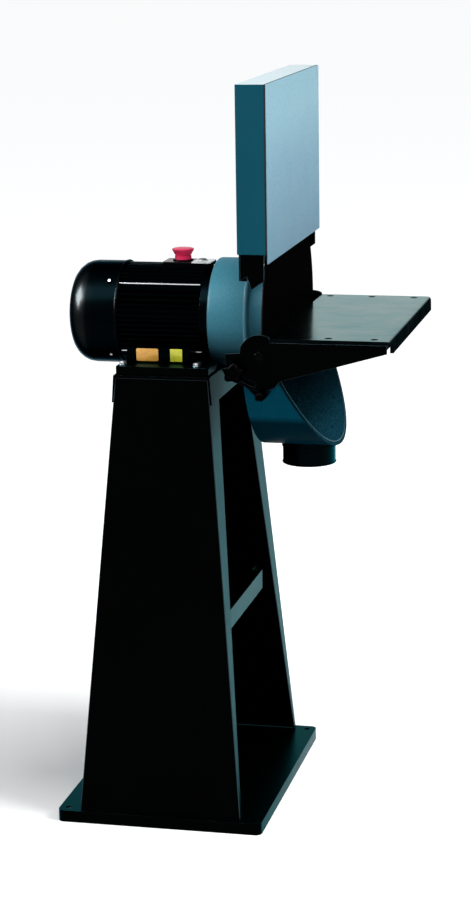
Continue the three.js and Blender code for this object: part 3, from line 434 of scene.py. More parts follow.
# painted shade: the shroud's colour darkens below 150 mm under the shaft
TEAL = hammered("teal_hammertone", (0.0012, 0.06, 0.1), 0.36, strength=0.1, scale=420.0,
                specular=0.002, painted_shade_stops=((-235, 0.3), (-165, 0.25), (-150, 1.0), (-100, 1.0)))
# painted shade: the chute's colour darkens toward its top under the table, and stays lighter toward
# its lower end
CHUTE = hammered("chute_hammertone", (0.007, 0.048, 0.074), 0.45, strength=0.5, scale=250.0,
                 specular=0.0, contrast=2.8,
                 painted_shade_stops=((-235, 1.0), (-195, 0.75), (-150, 0.33), (-60, 0.2)))
# the top colour is a painted highlight for faces that point up
GUARD_TEAL = guard_paint(side=(0.0015, 0.066, 0.1), top=(0.56, 0.67, 0.7))
PALE = pale_paint()
TABLE_ENAMEL = table_paint()
SWITCH_LID = switch_paint()
GRIT = abrasive_cloth()
STEEL = metal("zinc_plated_steel", (0.3, 0.31, 0.33), 0.28)
SHAFT_STEEL = metal("ground_steel", (0.6, 0.6, 0.61), 0.2, grain=(60.0, 6.0, 6.0))
CORE_STEEL = metal("lamination_steel", (0.33, 0.34, 0.36), 0.4, grain=(90.0, 3.0, 3.0),
                   strength=0.4)
ALUMINIUM = metal("blackened_aluminium", (0.012, 0.013, 0.015), 0.38, grain=(50.0, 4.0, 4.0))
COPPER = metal("copper_winding", (0.55, 0.17, 0.06), 0.35, grain=(4.0, 30.0, 30.0), strength=0.5)
# bright metal for painted glints: the rib strips and the cowl screws' sockets
GLINT_METAL = metal("glint_metal", (0.62, 0.64, 0.66), 0.22, grain=(4.0, 40.0, 40.0), strength=0.1)
RED = moulded("red_gloss_plastic", (1.0, 0.04, 0.14), 0.24, grain=0.05, specular=0.06)
GREEN = moulded("green_button_plastic", (0.06, 0.1, 0.08), 0.28, grain=0.05)
PALE_PLASTIC = moulded("pale_plastic", (0.6, 0.63, 0.62), 0.3, grain=0.05, specular=0.1)
RUBBER = moulded("gasket_rubber", (0.004, 0.004, 0.004), 0.7, grain=0.4, specular=0.1)
# painted highlight: a paler teal for the drum's rounded shoulder
TEAL_EDGE = painted("teal_edge_painted_highlight", (0.12, 0.32, 0.4), 0.3, peel=0.05, specular=0.4)
WELD = painted("painted_weld", (0.022, 0.07, 0.092), 0.3, peel=0.1, specular=0.05)
ORANGE = plain_label("orange_plate", (0.95, 0.46, 0.06))
YELLOW = plain_label("yellow_plate", (0.85, 0.84, 0.03))

NODE_LOOKS = (
    (BLACK, ("base_plate", "column_shell", "column_crossbar", "column_cap", "motor_cradle",
             "trunnion_near", "trunnion_far", "table_side_near", "table_side_far",
             "guard_channel", "guard_post")),
    (MOTOR_BLACK, ("stator_housing", "end_shield_rear", "end_shield_front", "fan_cowl")),
    (DRUM_TEAL, ("drum_housing",)),
    (TEAL, ("dust_shroud",)),
    (GUARD_TEAL, ("guard_cover",)),
    (CHUTE, ("chute_front_plate",)),
    (SPIGOT_PAINT, ("dust_spigot",)),
    (PALE, ("guard_front_plate",)),
    (TABLE_ENAMEL, ("table_top",)),
    (GRIT, ("abrasive_disc",)),
    (ALUMINIUM, ("backing_plate",)),
    (COPPER, ("stator_winding",)),
    (CORE_STEEL, ("stator_core", "rotor")),
    (SHAFT_STEEL, ("motor_shaft", "shaft_key", "disc_flange", "bearing_rear", "bearing_front")),
    (PLASTIC, ("cooling_fan", "switch_box", "estop_collar")),
    (SWITCH_LID, ("switch_plate",)),
    (RUBBER, ("guard_gasket",)),
)


# ---------------------------------------------------------------- dressing the CAD nodes
EDGE_ROUND = 0.5                # of a node that EDGE_ROUNDS doesn't name, in millimetres
EDGE_ROUNDS = {
    "guard_cover": 0.7, "guard_front_plate": 0.6, "guard_gasket": 0.4, "base_plate": 1.5,
    "column_shell": 1.2, "column_cap": 1.4, "table_top": 1.0, "switch_plate": 0.6,
    "dust_shroud": 0.6, "chute_front_plate": 0.7, "dust_spigot": 0.6,
}
SHARP_ANGLE = math.radians(32)  # faces that meet at more than this have an edge between them
FLAT_ANGLE = math.radians(0.5)  # faces that meet at less than this are one face
WELD_GAP = mm(0.005)


def dress(node, material):
    """Gives a CAD node its material, flat faces and small rounded edges, without moving its mesh.

    The CAD's shading normals go, because the modifiers make new ones. The rounded edges of black
    sheet metal get the thinner, brighter film of worn powder coat, which is partly a painted
    highlight.
    """
    piece = NODES[node]
    mesh = piece.data
    mesh.materials.clear()
    mesh.materials.append(material)
    for attribute in ("custom_normal", "sharp_edge"):
        if attribute in mesh.attributes:
            mesh.attributes.remove(mesh.attributes[attribute])
    mesh.polygons.foreach_set("use_smooth", [True] * len(mesh.polygons))
    weld = piece.modifiers.new("weld", "WELD")
    weld.merge_threshold = WELD_GAP
    flatten = piece.modifiers.new("flatten", "DECIMATE")
    flatten.decimate_type = "DISSOLVE"
    flatten.angle_limit = FLAT_ANGLE
    round_edges = piece.modifiers.new("round_edges", "BEVEL")
    round_edges.width = mm(EDGE_ROUNDS.get(node, EDGE_ROUND))
    round_edges.segments = 2
    if material is BLACK:
        mesh.materials.append(BLACK_EDGE)
        round_edges.material = 1
    round_edges.limit_method = "ANGLE"
    round_edges.angle_limit = SHARP_ANGLE
    round_edges.harden_normals = True
    round_edges.use_clamp_overlap = True


def dress_all():
    for material, names in NODE_LOOKS:
        for name in names:
            dress(name, material)


# ---------------------------------------------------------------- mesh helpers
AXES = {                        # along an axis, and the two directions across it
    "x": (Vector((1, 0, 0)), Vector((0, 1, 0)), Vector((0, 0, 1))),
    "y": (Vector((0, 1, 0)), Vector((0, 0, 1)), Vector((1, 0, 0))),
    "z": (Vector((0, 0, 1)), Vector((1, 0, 0)), Vector((0, 1, 0))),
}
POLE = 1e-6                     # a smaller radius closes a turned shape at a point
CORNER_STEPS = 6                # in the quarter circle of a rounded corner


def make_piece(name, bm, material, body):
    """Makes a piece of a mesh, which rides on a body."""
    bmesh.ops.recalc_face_normals(bm, faces=bm.faces)
    mesh = bpy.data.meshes.new(name)
    bm.to_mesh(mesh)
    bm.free()
    mesh.materials.append(material)
    mesh.polygons.foreach_set("use_smooth", [True] * len(mesh.polygons))
    mesh.set_sharp_from_angle(angle=SHARP_ANGLE)
    piece = bpy.data.objects.new(name, mesh)
    bpy.context.scene.collection.objects.link(piece)
    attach(piece, body)
    return piece


def turn(bm, profile, axis, centre, steps, wave=None):
    """Turns (station, radius) pairs about an axis through a point.

    wave(angle, station) gives the share of the radius that is kept.
    """
    along, u, v = AXES[axis]
    rings = []
    for station, radius in profile:
        at = centre + along * station
        if radius < POLE:
            rings.append([bm.verts.new(at)])
            continue
        ring = []
        for i in range(steps):
            angle = 2 * math.pi * i / steps
            r = radius * (wave(angle, station) if wave else 1.0)
            ring.append(bm.verts.new(at + (u * math.cos(angle) + v * math.sin(angle)) * r))
        rings.append(ring)
    for a, b in zip(rings, rings[1:]):
        for i in range(steps):
            j = (i + 1) % steps
            corners = (a[i % len(a)], a[j % len(a)], b[j % len(b)], b[i % len(b)])
            unique = list(dict.fromkeys(corners))
            if len(unique) > 2:
                bm.faces.new(unique)


def hexagon(angle):
    """Radius of a hexagon at an angle, as a share of its corner radius."""
    sixth = math.pi / 3
    return math.cos(sixth / 2) / math.cos(angle % sixth - sixth / 2)


def round_off(bm, edges, offset):
    bmesh.ops.bevel(bm, geom=edges, offset=offset, segments=2, affect="EDGES", profile=0.5)


def block(bm, low, high, round_by):
    """A box between two corners, with rounded edges."""
    verts = bmesh.ops.create_cube(bm, size=1.0)["verts"]
    centre = (Vector(low) + Vector(high)) / 2
    size = Vector(high) - Vector(low)
    for vert in verts:
        vert.co = vert.co * size + centre
    round_off(bm, list({edge for vert in verts for edge in vert.link_edges}), round_by)


def rounded_outline(a0, a1, b0, b1, r):
    """Points around a rectangle with rounded corners."""
    middles = ((a1 - r, b1 - r), (a0 + r, b1 - r), (a0 + r, b0 + r), (a1 - r, b0 + r))
    points = []
    for quarter, (a, b) in enumerate(middles):
        for i in range(CORNER_STEPS + 1):
            angle = math.radians(90 * quarter + 90 * i / CORNER_STEPS)
            points.append((a + r * math.cos(angle), b + r * math.sin(angle)))
    return points


def plate(bm, outline, low, high, axis, round_by):
    """A flat plate between two stations; its outline runs in the two directions across its axis."""
    along, u, v = AXES[axis]
    bottom = [bm.verts.new(along * low + u * a + v * b) for a, b in outline]
    top = [bm.verts.new(along * high + u * a + v * b) for a, b in outline]
    faces = [bm.faces.new(bottom[::-1]), bm.faces.new(top)]
    for i in range(len(outline)):
        j = (i + 1) % len(outline)
        bm.faces.new([bottom[i], bottom[j], top[j], top[i]])
    round_off(bm, [edge for face in faces for edge in face.edges], round_by)


# ---------------------------------------------------------------- hand knobs
NECK = mm(6)                    # length of a knob's neck
NECK_WAIST = (0.7, 0.96)        # share of the neck's length, share of its radius
# a grip's foot: millimetres above the neck, share of the radius
GRIP_FOOT = ((0.0, 0.6), (0.7, 0.92), (2.4, 1.0))
# its crown: share of the length, share of the radius
GRIP_CROWN = ((0.45, 1.0), (0.7, 0.95), (0.88, 0.8), (0.97, 0.58), (1.0, 0.44))
# the dish in the crown: millimetres under it, share of the radius
GRIP_DISH = ((0.2, 0.4), (1.2, 0.36), (1.4, 0.0))
LOBES = 5
LOBES_TURNED = 0.6              # radians
# the lobes run from this far above the neck to this far under the crown
LOBES_FROM, LOBES_TO = mm(0.3), mm(0.1)
KNOB_STEPS = 80                 # around a knob, as the other STEPS are around their pieces
# of the grip: radius and length; of the neck and the stud: radius; and the height of a lobe
STAR_KNOB = (mm(18), mm(18), mm(9), mm(4), mm(2.4))
SMALL_KNOB = (mm(8.6), mm(14), mm(6.5), mm(4), mm(0.9))


def hand_knob(node, joint, grip, length, neck_r, stud_r, lobe):
    """A lobed hand knob: its stud, a neck, and a crowned grip with a dished end."""
    centre = Vector(JOINTS[joint]["pos_m"])
    outward = Vector(JOINTS[joint]["axis"])
    axis = "xyz"[max(range(3), key=lambda i: abs(outward[i]))]
    sign = 1 if sum(outward) > 0 else -1
    back, front = sorted((corner - centre).dot(outward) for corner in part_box(node))
    top = front - length
    seat = top - NECK
    waist_at, waist_r = NECK_WAIST
    shape = [
        (back, 0), (back, stud_r), (seat, stud_r), (seat, neck_r),
        (seat + NECK * waist_at, neck_r * waist_r), (top, neck_r),
        *((top + mm(up), grip * share) for up, share in GRIP_FOOT),
        *((top + length * part, grip * share) for part, share in GRIP_CROWN),
        *((front - mm(down), grip * share) for down, share in GRIP_DISH),
    ]

    def lobes(angle, station):
        if top + LOBES_FROM < sign * station < front - LOBES_TO:
            return 1.0 + lobe / grip * math.cos(LOBES * angle - LOBES_TURNED)
        return 1.0

    bm = bmesh.new()
    turn(bm, [(sign * station, radius) for station, radius in shape], axis, centre,
         KNOB_STEPS, lobes)
    piece = make_piece(f"{node}_grip", bm, PLASTIC, node)
    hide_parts(node)


def make_knobs():
    for side in ("near", "far"):
        hand_knob(f"tilt_knob_{side}", f"tilt_knob_{side}_turn", *STAR_KNOB)
    hand_knob("bracket_knob", "bracket_knob_turn", *SMALL_KNOB)
    hand_knob("guard_knob", "guard_knob_turn", *STAR_KNOB)


# ---------------------------------------------------------------- buttons
# the stop button from its foot to its crown: share of the height, radius in millimetres
STOP_SHAPE = (
    (0.0, 0.0), (0.0, 15.0), (0.03, 15.5), (0.42, 15.2), (0.44, 14.0), (0.48, 14.0), (0.5, 15.4),
    (0.62, 16.9), (0.76, 18.9), (0.84, 20.0), (0.89, 20.3), (0.93, 19.7), (0.965, 17.0),
    (0.985, 12.0), (1.0, 6.0), (1.0, 0.0),
)
# the start button's rounded edge and hollow: millimetres under its top, share of its radius
START_SHAPE = ((0.9, 1.0), (0.3, 0.94), (0.0, 0.8), (0.5, 0.55), (0.7, 0.0))
# the ring around it, in millimetres: above the lid, and outside the button
BEZEL_SHAPE = ((0.0, 0.4), (1.4, 0.4), (1.8, 0.9), (1.6, 1.9), (0.3, 2.6), (0.0, 2.6), (0.0, 0.4))
STOP_STEPS = 72
START_STEPS = 48


def make_buttons():
    """The stop button's smooth mushroom with its seam, and the start button in its bezel."""
    bm = bmesh.new()
    height = MUSHROOM.z1 - MUSHROOM.z0
    turn(bm, [(MUSHROOM.z0 + share * height, mm(r)) for share, r in STOP_SHAPE], "z",
         Vector((MUSHROOM.cx, MUSHROOM.cy, 0)), STOP_STEPS)
    piece = make_piece("estop_mushroom_cap", bm, RED, "estop_mushroom")
    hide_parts("estop_mushroom")

    middle = Vector((START.cx, START.cy, 0))
    r = (START.x1 - START.x0) / 2
    edge = [(START.z1 - mm(down), r * share) for down, share in START_SHAPE]
    bm = bmesh.new()
    turn(bm, [(START.z0, 0), (START.z0, r), *edge], "z", middle, START_STEPS)
    piece = make_piece("start_button_cap", bm, GREEN, "start_button")
    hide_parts("start_button")

    bm = bmesh.new()
    turn(bm, [(LID.z1 + mm(up), r + mm(out)) for up, out in BEZEL_SHAPE], "z", middle,
         START_STEPS)
    make_piece("start_button_bezel", bm, PALE_PLASTIC, "stand")


# ---------------------------------------------------------------- screws and bolts
# in millimetres: in from the end of the head, and radius; None is the full length of the piece
CRADLE_BOLT_SHAPE = ((0.0, 0), (0.0, 4.6), (0.25, 5.6), (1.1, 6.9), (4.6, 6.9), (4.9, 7.0),
                     (5.0, 7.0), (6.0, 7.0), (6.0, 4.0), (None, 4.0), (None, 0))
PIVOT_BOLT_SHAPE = ((0.0, 0), (0.0, 5.6), (0.3, 6.8), (1.3, 8.4), (5.0, 8.4), (5.2, 8.5),
                    (6.0, 8.5), (6.0, 5.0), (None, 5.0), (None, 0))
TABLE_SCREW_SHAPE = ((1.8, 0), (1.8, 2.3), (0.0, 2.5), (0.0, 5.7), (0.25, 6.0), (3.2, 3.0),
                     (None, 3.0), (None, 0))
DISC_SCREW_SHAPE = ((2.2, 0), (2.2, 3.2), (0.1, 3.4), (0.0, 5.0), (0.4, 6.4), (1.2, 7.3),
                    (2.7, 7.5), (2.7, 4.0), (None, 4.0), (None, 0))
COWL_SCREW_SHAPE = ((0.9, 0), (0.7, 1.5), (0.0, 1.7), (0.15, 2.6), (0.7, 4.0), (1.5, 4.8),
                    (2.6, 5.0), (2.6, 2.5), (12.5, 2.5), (12.5, 0))
# the points of a shape that are six-sided
BOLT_HEX = (3, 4)               # the flats of a bolt's head
SOCKET_HEX = (1, 2)             # the socket for an Allen key
SAME_STATION = 6                # decimals to which two stations of a shape are compared
SCREW_STEPS = 48
COWL_SCREW_STEPS = 40
COWL_SCREW_REACH = mm(1.5)      # from half the cowl's height out to the crown of its screws
BRIGHT_R = mm(2.9)              # radius of the bright driver socket in those screws, a painted glint
BRIGHT_DEPTH = mm(1.2)


def fastener(node, body, axis, outward, shape, hexes, material):
    """A screw or bolt turned about the middle of its node's box.

    outward says which end of the axis its head points to: 1 or -1.
    """
    low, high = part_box(node)
    middle = (low + high) / 2
    index = "xyz".index(axis)
    end = high[index] if outward > 0 else low[index]
    length = high[index] - low[index]
    middle[index] = 0.0
    points = [(end - outward * (length if depth is None else mm(depth)), mm(radius))
              for depth, radius in shape]
    six_sided = {round(points[i][0], SAME_STATION) for i in hexes}

    def flats(angle, station):
        return hexagon(angle) if round(station, SAME_STATION) in six_sided else 1.0

    bm = bmesh.new()
    turn(bm, points, axis, middle, SCREW_STEPS, flats)
    piece = make_piece(f"{node}_turned", bm, material, body)
    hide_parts(node)


def cowl_screw(node):
    """A pan-head screw that stands square to the round cowl, with a bright driver socket that is a
    painted glint.
    """
    low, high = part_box(node)
    middle = (low + high) / 2
    outward = Vector((0, middle.y, middle.z - SHAFT_Z)).normalized()
    shape = [(-mm(depth), mm(radius)) for depth, radius in COWL_SCREW_SHAPE]
    bm = bmesh.new()
    turn(bm, shape, "z", Vector((0, 0, 0)), COWL_SCREW_STEPS)
    for face in bm.faces:
        at = face.calc_center_median()
        face.material_index = int(math.hypot(at.x, at.y) < BRIGHT_R and at.z > -BRIGHT_DEPTH)
    crown = Vector((middle.x, 0, SHAFT_Z)) + outward * ((COWL.z1 - COWL.z0) / 2 + COWL_SCREW_REACH)
    facing = outward.to_track_quat("Z", "Y").to_matrix().to_4x4()
    bmesh.ops.transform(bm, matrix=Matrix.Translation(crown) @ facing, verts=bm.verts)
    piece = make_piece(f"{node}_turned", bm, BOLT_BLACK, "stand")
    piece.data.materials.append(GLINT_METAL)
    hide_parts(node)


def make_fasteners():
    for i in range(1, 5):
        fastener(f"cradle_bolt_{i}", "stand", "z", 1, CRADLE_BOLT_SHAPE, BOLT_HEX, STEEL)
    fastener("pivot_bolt_near", "stand", "y", -1, PIVOT_BOLT_SHAPE, BOLT_HEX, BOLT_BLACK)
    fastener("pivot_bolt_far", "stand", "y", 1, PIVOT_BOLT_SHAPE, BOLT_HEX, BOLT_BLACK)
    for i in range(1, 7):
        fastener(f"table_screw_{i}", "table", "z", 1, TABLE_SCREW_SHAPE, SOCKET_HEX, BOLT_BLACK)
    fastener("disc_screw", "disc_drive", "x", 1, DISC_SCREW_SHAPE, SOCKET_HEX, BOLT_BLACK)
    for i in range(1, 5):
        cowl_screw(f"cowl_screw_{i}")


# ---------------------------------------------------------------- trim on the motor
RIB_LINES = ((63.5, "upper"), (-60.0, "lower"))         # millimetres above the shaft
RIB_Y = mm(68)                  # outer faces of the motor's corner ribs
RIB_EDGE_SUNK = mm(0.2)         # how deep a rib's glint strip sits in it
RIB_EDGE_PROUD = mm(0.7)        # how far the edge stands out of the rib
RIB_EDGE_HALF = mm(0.9)         # half its height
RIB_EDGE_SHORT = mm(0.5)        # how far it stops short of the housing's ends
RIB_EDGE_ROUND = mm(0.35)
# in millimetres: the ends along the stator housing, and the radius of the corners
LABELS = (("orange_plate", ORANGE, 45.2, 85.8, 3.0), ("yellow_plate", YELLOW, 107.6, 129.9, 1.2))
LABEL_Z = (mm(-67.4), mm(-44.6))                        # lower and upper edge, above the shaft
LABEL_FRONT = mm(0.5)           # how far the face stands off the housing
LABEL_BACK = mm(0.02)
LABEL_ROUND = mm(0.12)


def make_rib_glints():
    """Bright metal strips along the motor's corner ribs: painted glints on their edges."""
    for side, sign in (("near", -1), ("far", 1)):
        for height, level in RIB_LINES:
            z = SHAFT_Z + mm(height)
            y0, y1 = sorted((sign * (RIB_Y - RIB_EDGE_SUNK), sign * (RIB_Y + RIB_EDGE_PROUD)))
            bm = bmesh.new()
            block(bm, (STATOR.x0 + RIB_EDGE_SHORT, y0, z - RIB_EDGE_HALF),
                  (STATOR.x1 - RIB_EDGE_SHORT, y1, z + RIB_EDGE_HALF), RIB_EDGE_ROUND)
            make_piece(f"rib_glint_{level}_{side}", bm, GLINT_METAL, "stand")


def make_labels():
    """The two bare plates on the motor's near side."""
    for name, material, x0, x1, r in LABELS:
        bm = bmesh.new()
        outline = rounded_outline(SHAFT_Z + LABEL_Z[0], SHAFT_Z + LABEL_Z[1],
                                  STATOR.x0 + mm(x0), STATOR.x0 + mm(x1), mm(r))
        plate(bm, outline, STATOR.y0 - LABEL_FRONT, STATOR.y0 - LABEL_BACK, "y", LABEL_ROUND)
        make_piece(name, bm, material, "stand")


# ---------------------------------------------------------------- trim on the drum and chute
HUB_REACH = mm(34.5)            # from the drum's shoulder to the end of its hub
SHOULDER_R = mm(5)
SHOULDER_SUNK = mm(1.5)         # how deep the ends of the shoulder's bead lie in the drum
SHOULDER_PAST = mm(1)           # how far they run on past the rounded edge
SHOULDER_ARC_STEPS = 8
SHOULDER_STEPS = 96
CHUTE_SHEET = mm(2.7)           # the sloping front plate's thickness along X
WELD_R = mm(0.9)
WELD_SWELL = (0.94, 1.12)       # share of its radius, in turn along the bead
WELD_SHORT = 0.01               # radians, how far it stops short of the plate's upper edge
WELD_LONG_STEPS = 180           # along the bead
WELD_STEPS = 8
WELD_SIDE = Vector((0.3, 0.2, 0.93))                    # any direction the bead never runs in
LIP_R = mm(48.3)                # of the middle of the spigot's rolled lip
LIP_STEPS = 96
LIP_TUBE_R = mm(1.5)
LIP_TUBE_STEPS = 12


def circle(steps):
    """Angles around a circle, without the last one."""
    return [2 * math.pi * i / steps for i in range(steps)]


def shoulder_bead():
    """The spun, rounded edge between the drum's wall and its face, in a paler teal that is a
    painted highlight.
    """
    face = DRUM.x1 - HUB_REACH
    r = (DRUM.y1 - DRUM.y0) / 2
    arc = [(face - SHOULDER_R + SHOULDER_R * math.cos(a), r - SHOULDER_R + SHOULDER_R * math.sin(a))
           for a in (math.pi / 2 * i / SHOULDER_ARC_STEPS for i in range(SHOULDER_ARC_STEPS + 1))]
    first = (face - SHOULDER_SUNK, r - SHOULDER_R - SHOULDER_PAST)
    last = (face - SHOULDER_R - SHOULDER_PAST, r - SHOULDER_SUNK)
    bm = bmesh.new()
    turn(bm, [first, *arc, last, first], "x", Vector((0, 0, SHAFT_Z)), SHOULDER_STEPS)
    make_piece("drum_shoulder_bead", bm, TEAL_EDGE, "stand")


def swelling_tube(bm, path):
    """A closed tube along a path, which swells at every second point like a weld."""
    rings = []
    for i, point in enumerate(path):
        ahead = (path[min(i + 1, len(path) - 1)] - path[max(i - 1, 0)]).normalized()
        side = ahead.cross(WELD_SIDE).normalized()
        over = ahead.cross(side)
        r = WELD_R * WELD_SWELL[i % 2]
        rings.append([bm.verts.new(point + (side * math.cos(t) + over * math.sin(t)) * r)
                      for t in circle(WELD_STEPS)])
    for a, b in zip(rings, rings[1:]):
        for k in range(WELD_STEPS):
            j = (k + 1) % WELD_STEPS
            bm.faces.new([a[k], a[j], b[j], b[k]])
    bm.faces.new(rings[0][::-1])
    bm.faces.new(rings[-1])


def weld_bead():
    """The weld between the chute's sloping front plate and the round shroud."""
    slope = (CHUTE_PLATE.x1 - CHUTE_PLATE.x0 - CHUTE_SHEET) / (CHUTE_PLATE.z1 - CHUTE_PLATE.z0)
    r = (CHUTE_PLATE.y1 - CHUTE_PLATE.y0) / 2 - WELD_R
    start = math.asin((SHAFT_Z - CHUTE_PLATE.z1) / r) + WELD_SHORT
    path = []
    for i in range(WELD_LONG_STEPS + 1):
        angle = start + (math.pi - 2 * start) * i / WELD_LONG_STEPS
        z = SHAFT_Z - r * math.sin(angle)
        x = CHUTE_PLATE.x1 - slope * (z - CHUTE_PLATE.z0)
        path.append(Vector((x, -r * math.cos(angle), z)))
    bm = bmesh.new()
    swelling_tube(bm, path)
    make_piece("chute_weld_bead", bm, WELD, "stand")


def spigot_lip():
    """The rolled mouth of the spigot that a hose clamps over."""
    around = [*circle(LIP_TUBE_STEPS), 2 * math.pi]
    ring = [(SPIGOT.z0 + LIP_TUBE_R + LIP_TUBE_R * math.sin(t), LIP_R + LIP_TUBE_R * math.cos(t))
            for t in around]
    bm = bmesh.new()
    turn(bm, ring, "z", Vector((SPIGOT.cx, SPIGOT.cy, 0)), LIP_STEPS)
    make_piece("spigot_rolled_lip", bm, SPIGOT_PAINT, "stand")


# ---------------------------------------------------------------- camera
# from the sanding face, the shaft's plane and the floor
CAMERA_AT = Vector((0.8759, -4.2019, 1.6502))
YAW, PITCH, ROLL = math.radians(-13.13), math.radians(13.08), math.radians(-0.89)
LENS = 95.84
SENSOR = 36.0


def make_camera():
    forward = Vector((math.sin(YAW) * math.cos(PITCH), math.cos(YAW) * math.cos(PITCH),
                      -math.sin(PITCH)))
    right = Vector((math.cos(YAW), -math.sin(YAW), 0))
    up = right.cross(forward)
    rolled_right = right * math.cos(ROLL) + up * math.sin(ROLL)
    rolled_up = up * math.cos(ROLL) - right * math.sin(ROLL)
    data = bpy.data.cameras.new("camera")
    data.lens = LENS
    data.sensor_width = SENSOR
    data.sensor_height = SENSOR
    data.sensor_fit = "AUTO"
    camera = bpy.data.objects.new("camera", data)
    bpy.context.scene.collection.objects.link(camera)
    rotation = Matrix((rolled_right, rolled_up, -forward)).transposed()
    place = CAMERA_AT + Vector((SANDING_X, 0, 0))
    camera.matrix_world = Matrix.Translation(place) @ rotation.to_4x4()
    bpy.context.scene.camera = camera


# ---------------------------------------------------------------- world and floor
WORLD_COLOR = (0.9, 0.95, 1.0)
WORLD_LIGHT = 0.18
FLOOR_HALF = 40.0               # half the side of the floor, in metres
SHADOW_AT = (-0.47, -0.02)      # X from the sanding face, and Y, where the painted shadow on the floor is darkest
FLOOR_LIFT = (0.1, 0.82)        # the floor's own light at that place and away from it
FLOOR_FADE = (0.0, 0.9)         # the distances from it, in metres, over which the light rises
TRAY_SHADE_INSET = mm(6)        # from the edges of the base
TRAY_SHADE_Z = mm(0.3)


def seen_directly(tree):
    """1 for camera, glossy and transmission rays, which see the white background; else 0."""
    path = tree.nodes.new("ShaderNodeLightPath")
    total = path.outputs["Is Camera Ray"]
    for kind in ("Is Glossy Ray", "Is Transmission Ray"):
        total = calculated(tree, "ADD", total, path.outputs[kind], clamp=True)
    return total


def make_world():
    """Plain pale surroundings that light the object softly and are seen as white."""
    world = bpy.data.worlds.new("studio")
    bpy.context.scene.world = world
    world.use_nodes = True
    tree = world.node_tree
    tree.nodes.clear()
    output = tree.nodes.new("ShaderNodeOutputWorld")
    mix = tree.nodes.new("ShaderNodeMixShader")
    lit = tree.nodes.new("ShaderNodeBackground")
    set_inputs(tree, lit, {"Color": opaque(WORLD_COLOR), "Strength": WORLD_LIGHT})
    seen = tree.nodes.new("ShaderNodeBackground")
    set_inputs(tree, seen, {"Color": opaque((1.0, 1.0, 1.0))})
    tree.links.new(seen_directly(tree), mix.inputs["Fac"])
    tree.links.new(lit.outputs["Background"], mix.inputs[1])
    tree.links.new(seen.outputs["Background"], mix.inputs[2])
    tree.links.new(mix.outputs["Shader"], output.inputs["Surface"])


def stage_sheet(name, corners, material, at=(0, 0, 0)):
    """A flat sheet that belongs to the stage and not to the machine."""
    mesh = bpy.data.meshes.new(name)
    mesh.from_pydata(corners, [], [tuple(range(len(corners)))])
    mesh.materials.append(material)
    sheet = bpy.data.objects.new(name, mesh)
    sheet.location = at
    bpy.context.scene.collection.objects.link(sheet)


def rectangle(x0, y0, x1, y1, z):
    return [(x0, y0, z), (x1, y0, z), (x1, y1, z), (x0, y1, z)]


def make_floor():
    """Pale paper whose own light lifts it to white where it is seen.

    That light is weaker around SHADOW_AT, which paints a darker patch there: a painted shadow that
    deepens the machine's own soft shadow on the paper.
    """
    material, tree, surface = nodes_of("floor_paper")
    reach = tree.nodes.new("ShaderNodeVectorMath")
    reach.operation = "LENGTH"
    tree.links.new(coordinates(tree), reach.inputs[0])
    lift = remap(tree, reach.outputs["Value"], FLOOR_FADE, FLOOR_LIFT)
    set_inputs(tree, surface, {
        "Base Color": opaque((0.8, 0.8, 0.8)),
        "Roughness": 1.0,
        "Specular IOR Level": 0.0,
        "Emission Color": opaque((1.0, 1.0, 1.0)),
        "Emission Strength": calculated(tree, "MULTIPLY", seen_directly(tree), lift),
    })
    half = FLOOR_HALF
    stage_sheet("floor", rectangle(-half, -half, half, half, 0), material,
                (SANDING_X + SHADOW_AT[0], SHADOW_AT[1], 0))


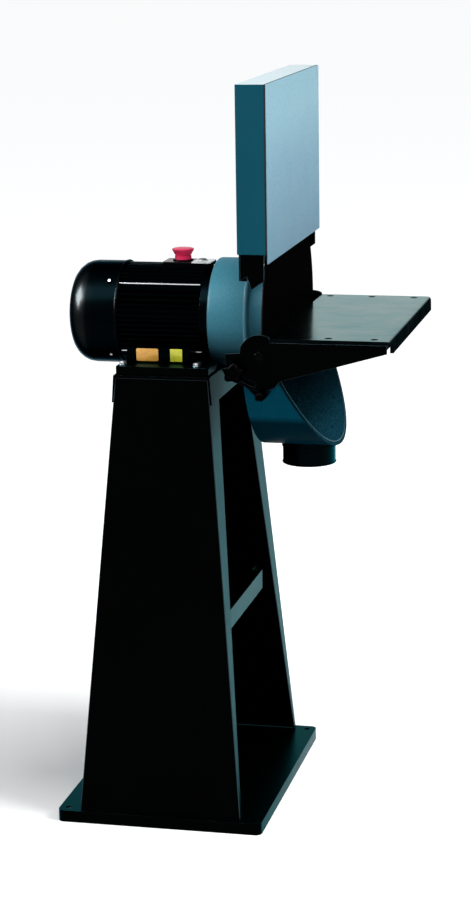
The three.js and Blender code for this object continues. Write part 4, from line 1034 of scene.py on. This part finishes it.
def make_tray_shade():
    """A dark sheet just above the floor under the base tray.

    The anchor holes look down on it, and no light would reach the paper there.
    """
    material, tree, surface = nodes_of("unlit_paper")
    set_inputs(tree, surface, {
        "Base Color": opaque((0.02, 0.02, 0.02)),
        "Roughness": 1.0,
        "Specular IOR Level": 0.0,
    })
    inset = TRAY_SHADE_INSET
    stage_sheet("tray_shade", rectangle(BASE.x0 + inset, BASE.y0 + inset, BASE.x1 - inset,
                                        BASE.y1 - inset, TRAY_SHADE_Z), material)


# ---------------------------------------------------------------- lamps
LAMPS_FACE = (-0.05, 0.95)      # the point they face: X from the sanding face, and height
# name: (azimuth from -Y toward +X, elevation) in degrees, distance, radiance, width, height,
# shows in gloss only
LAMPS = {
    "overhead_softbox": ((-5, 60), 2.9, 2.7, 4.0, 2.0, False),
    "right_softbox": ((72, 32), 5.5, 21.0, 2.0, 2.0, False),
    "left_panel": ((-70, 21), 1.3, 150.0, 0.5, 0.55, True),
    "near_panel": ((-32, 46), 3.0, 12.0, 2.8, 1.5, True),
    "front_strip": ((20, 22), 4.6, 14.0, 0.35, 1.6, False),
}


def make_lamp(name, direction, distance, radiance, width, height, gloss_only):
    """A softbox that faces the middle of the machine.

    Radiance is its brightness as a camera would see it, where the white background is 1. One that
    is gloss_only lights no matt surface: it only shows in glossy ones.
    """
    data = bpy.data.lights.new(name, "AREA")
    data.shape = "RECTANGLE"
    data.size = width
    data.size_y = height
    data.energy = radiance * math.pi * width * height
    lamp = bpy.data.objects.new(name, data)
    bpy.context.scene.collection.objects.link(lamp)
    lamp.visible_camera = False
    lamp.visible_diffuse = not gloss_only
    azimuth, elevation = (math.radians(v) for v in direction)
    toward = Vector((math.sin(azimuth) * math.cos(elevation),
                     -math.cos(azimuth) * math.cos(elevation), math.sin(elevation)))
    lamp.location = Vector((SANDING_X + LAMPS_FACE[0], 0, LAMPS_FACE[1])) + toward * distance
    lamp.rotation_euler = (-toward).to_track_quat("-Z", "Z").to_euler()


# ---------------------------------------------------------------- assembly
def main():
    bpy.context.scene.view_settings.view_transform = "Standard"
    make_camera()
    make_world()
    make_floor()
    make_tray_shade()
    for name, settings in LAMPS.items():
        make_lamp(name, *settings)
    dress_all()
    make_knobs()
    make_buttons()
    make_fasteners()
    make_rib_glints()
    make_labels()
    shoulder_bead()
    weld_bead()
    spigot_lip()


main()
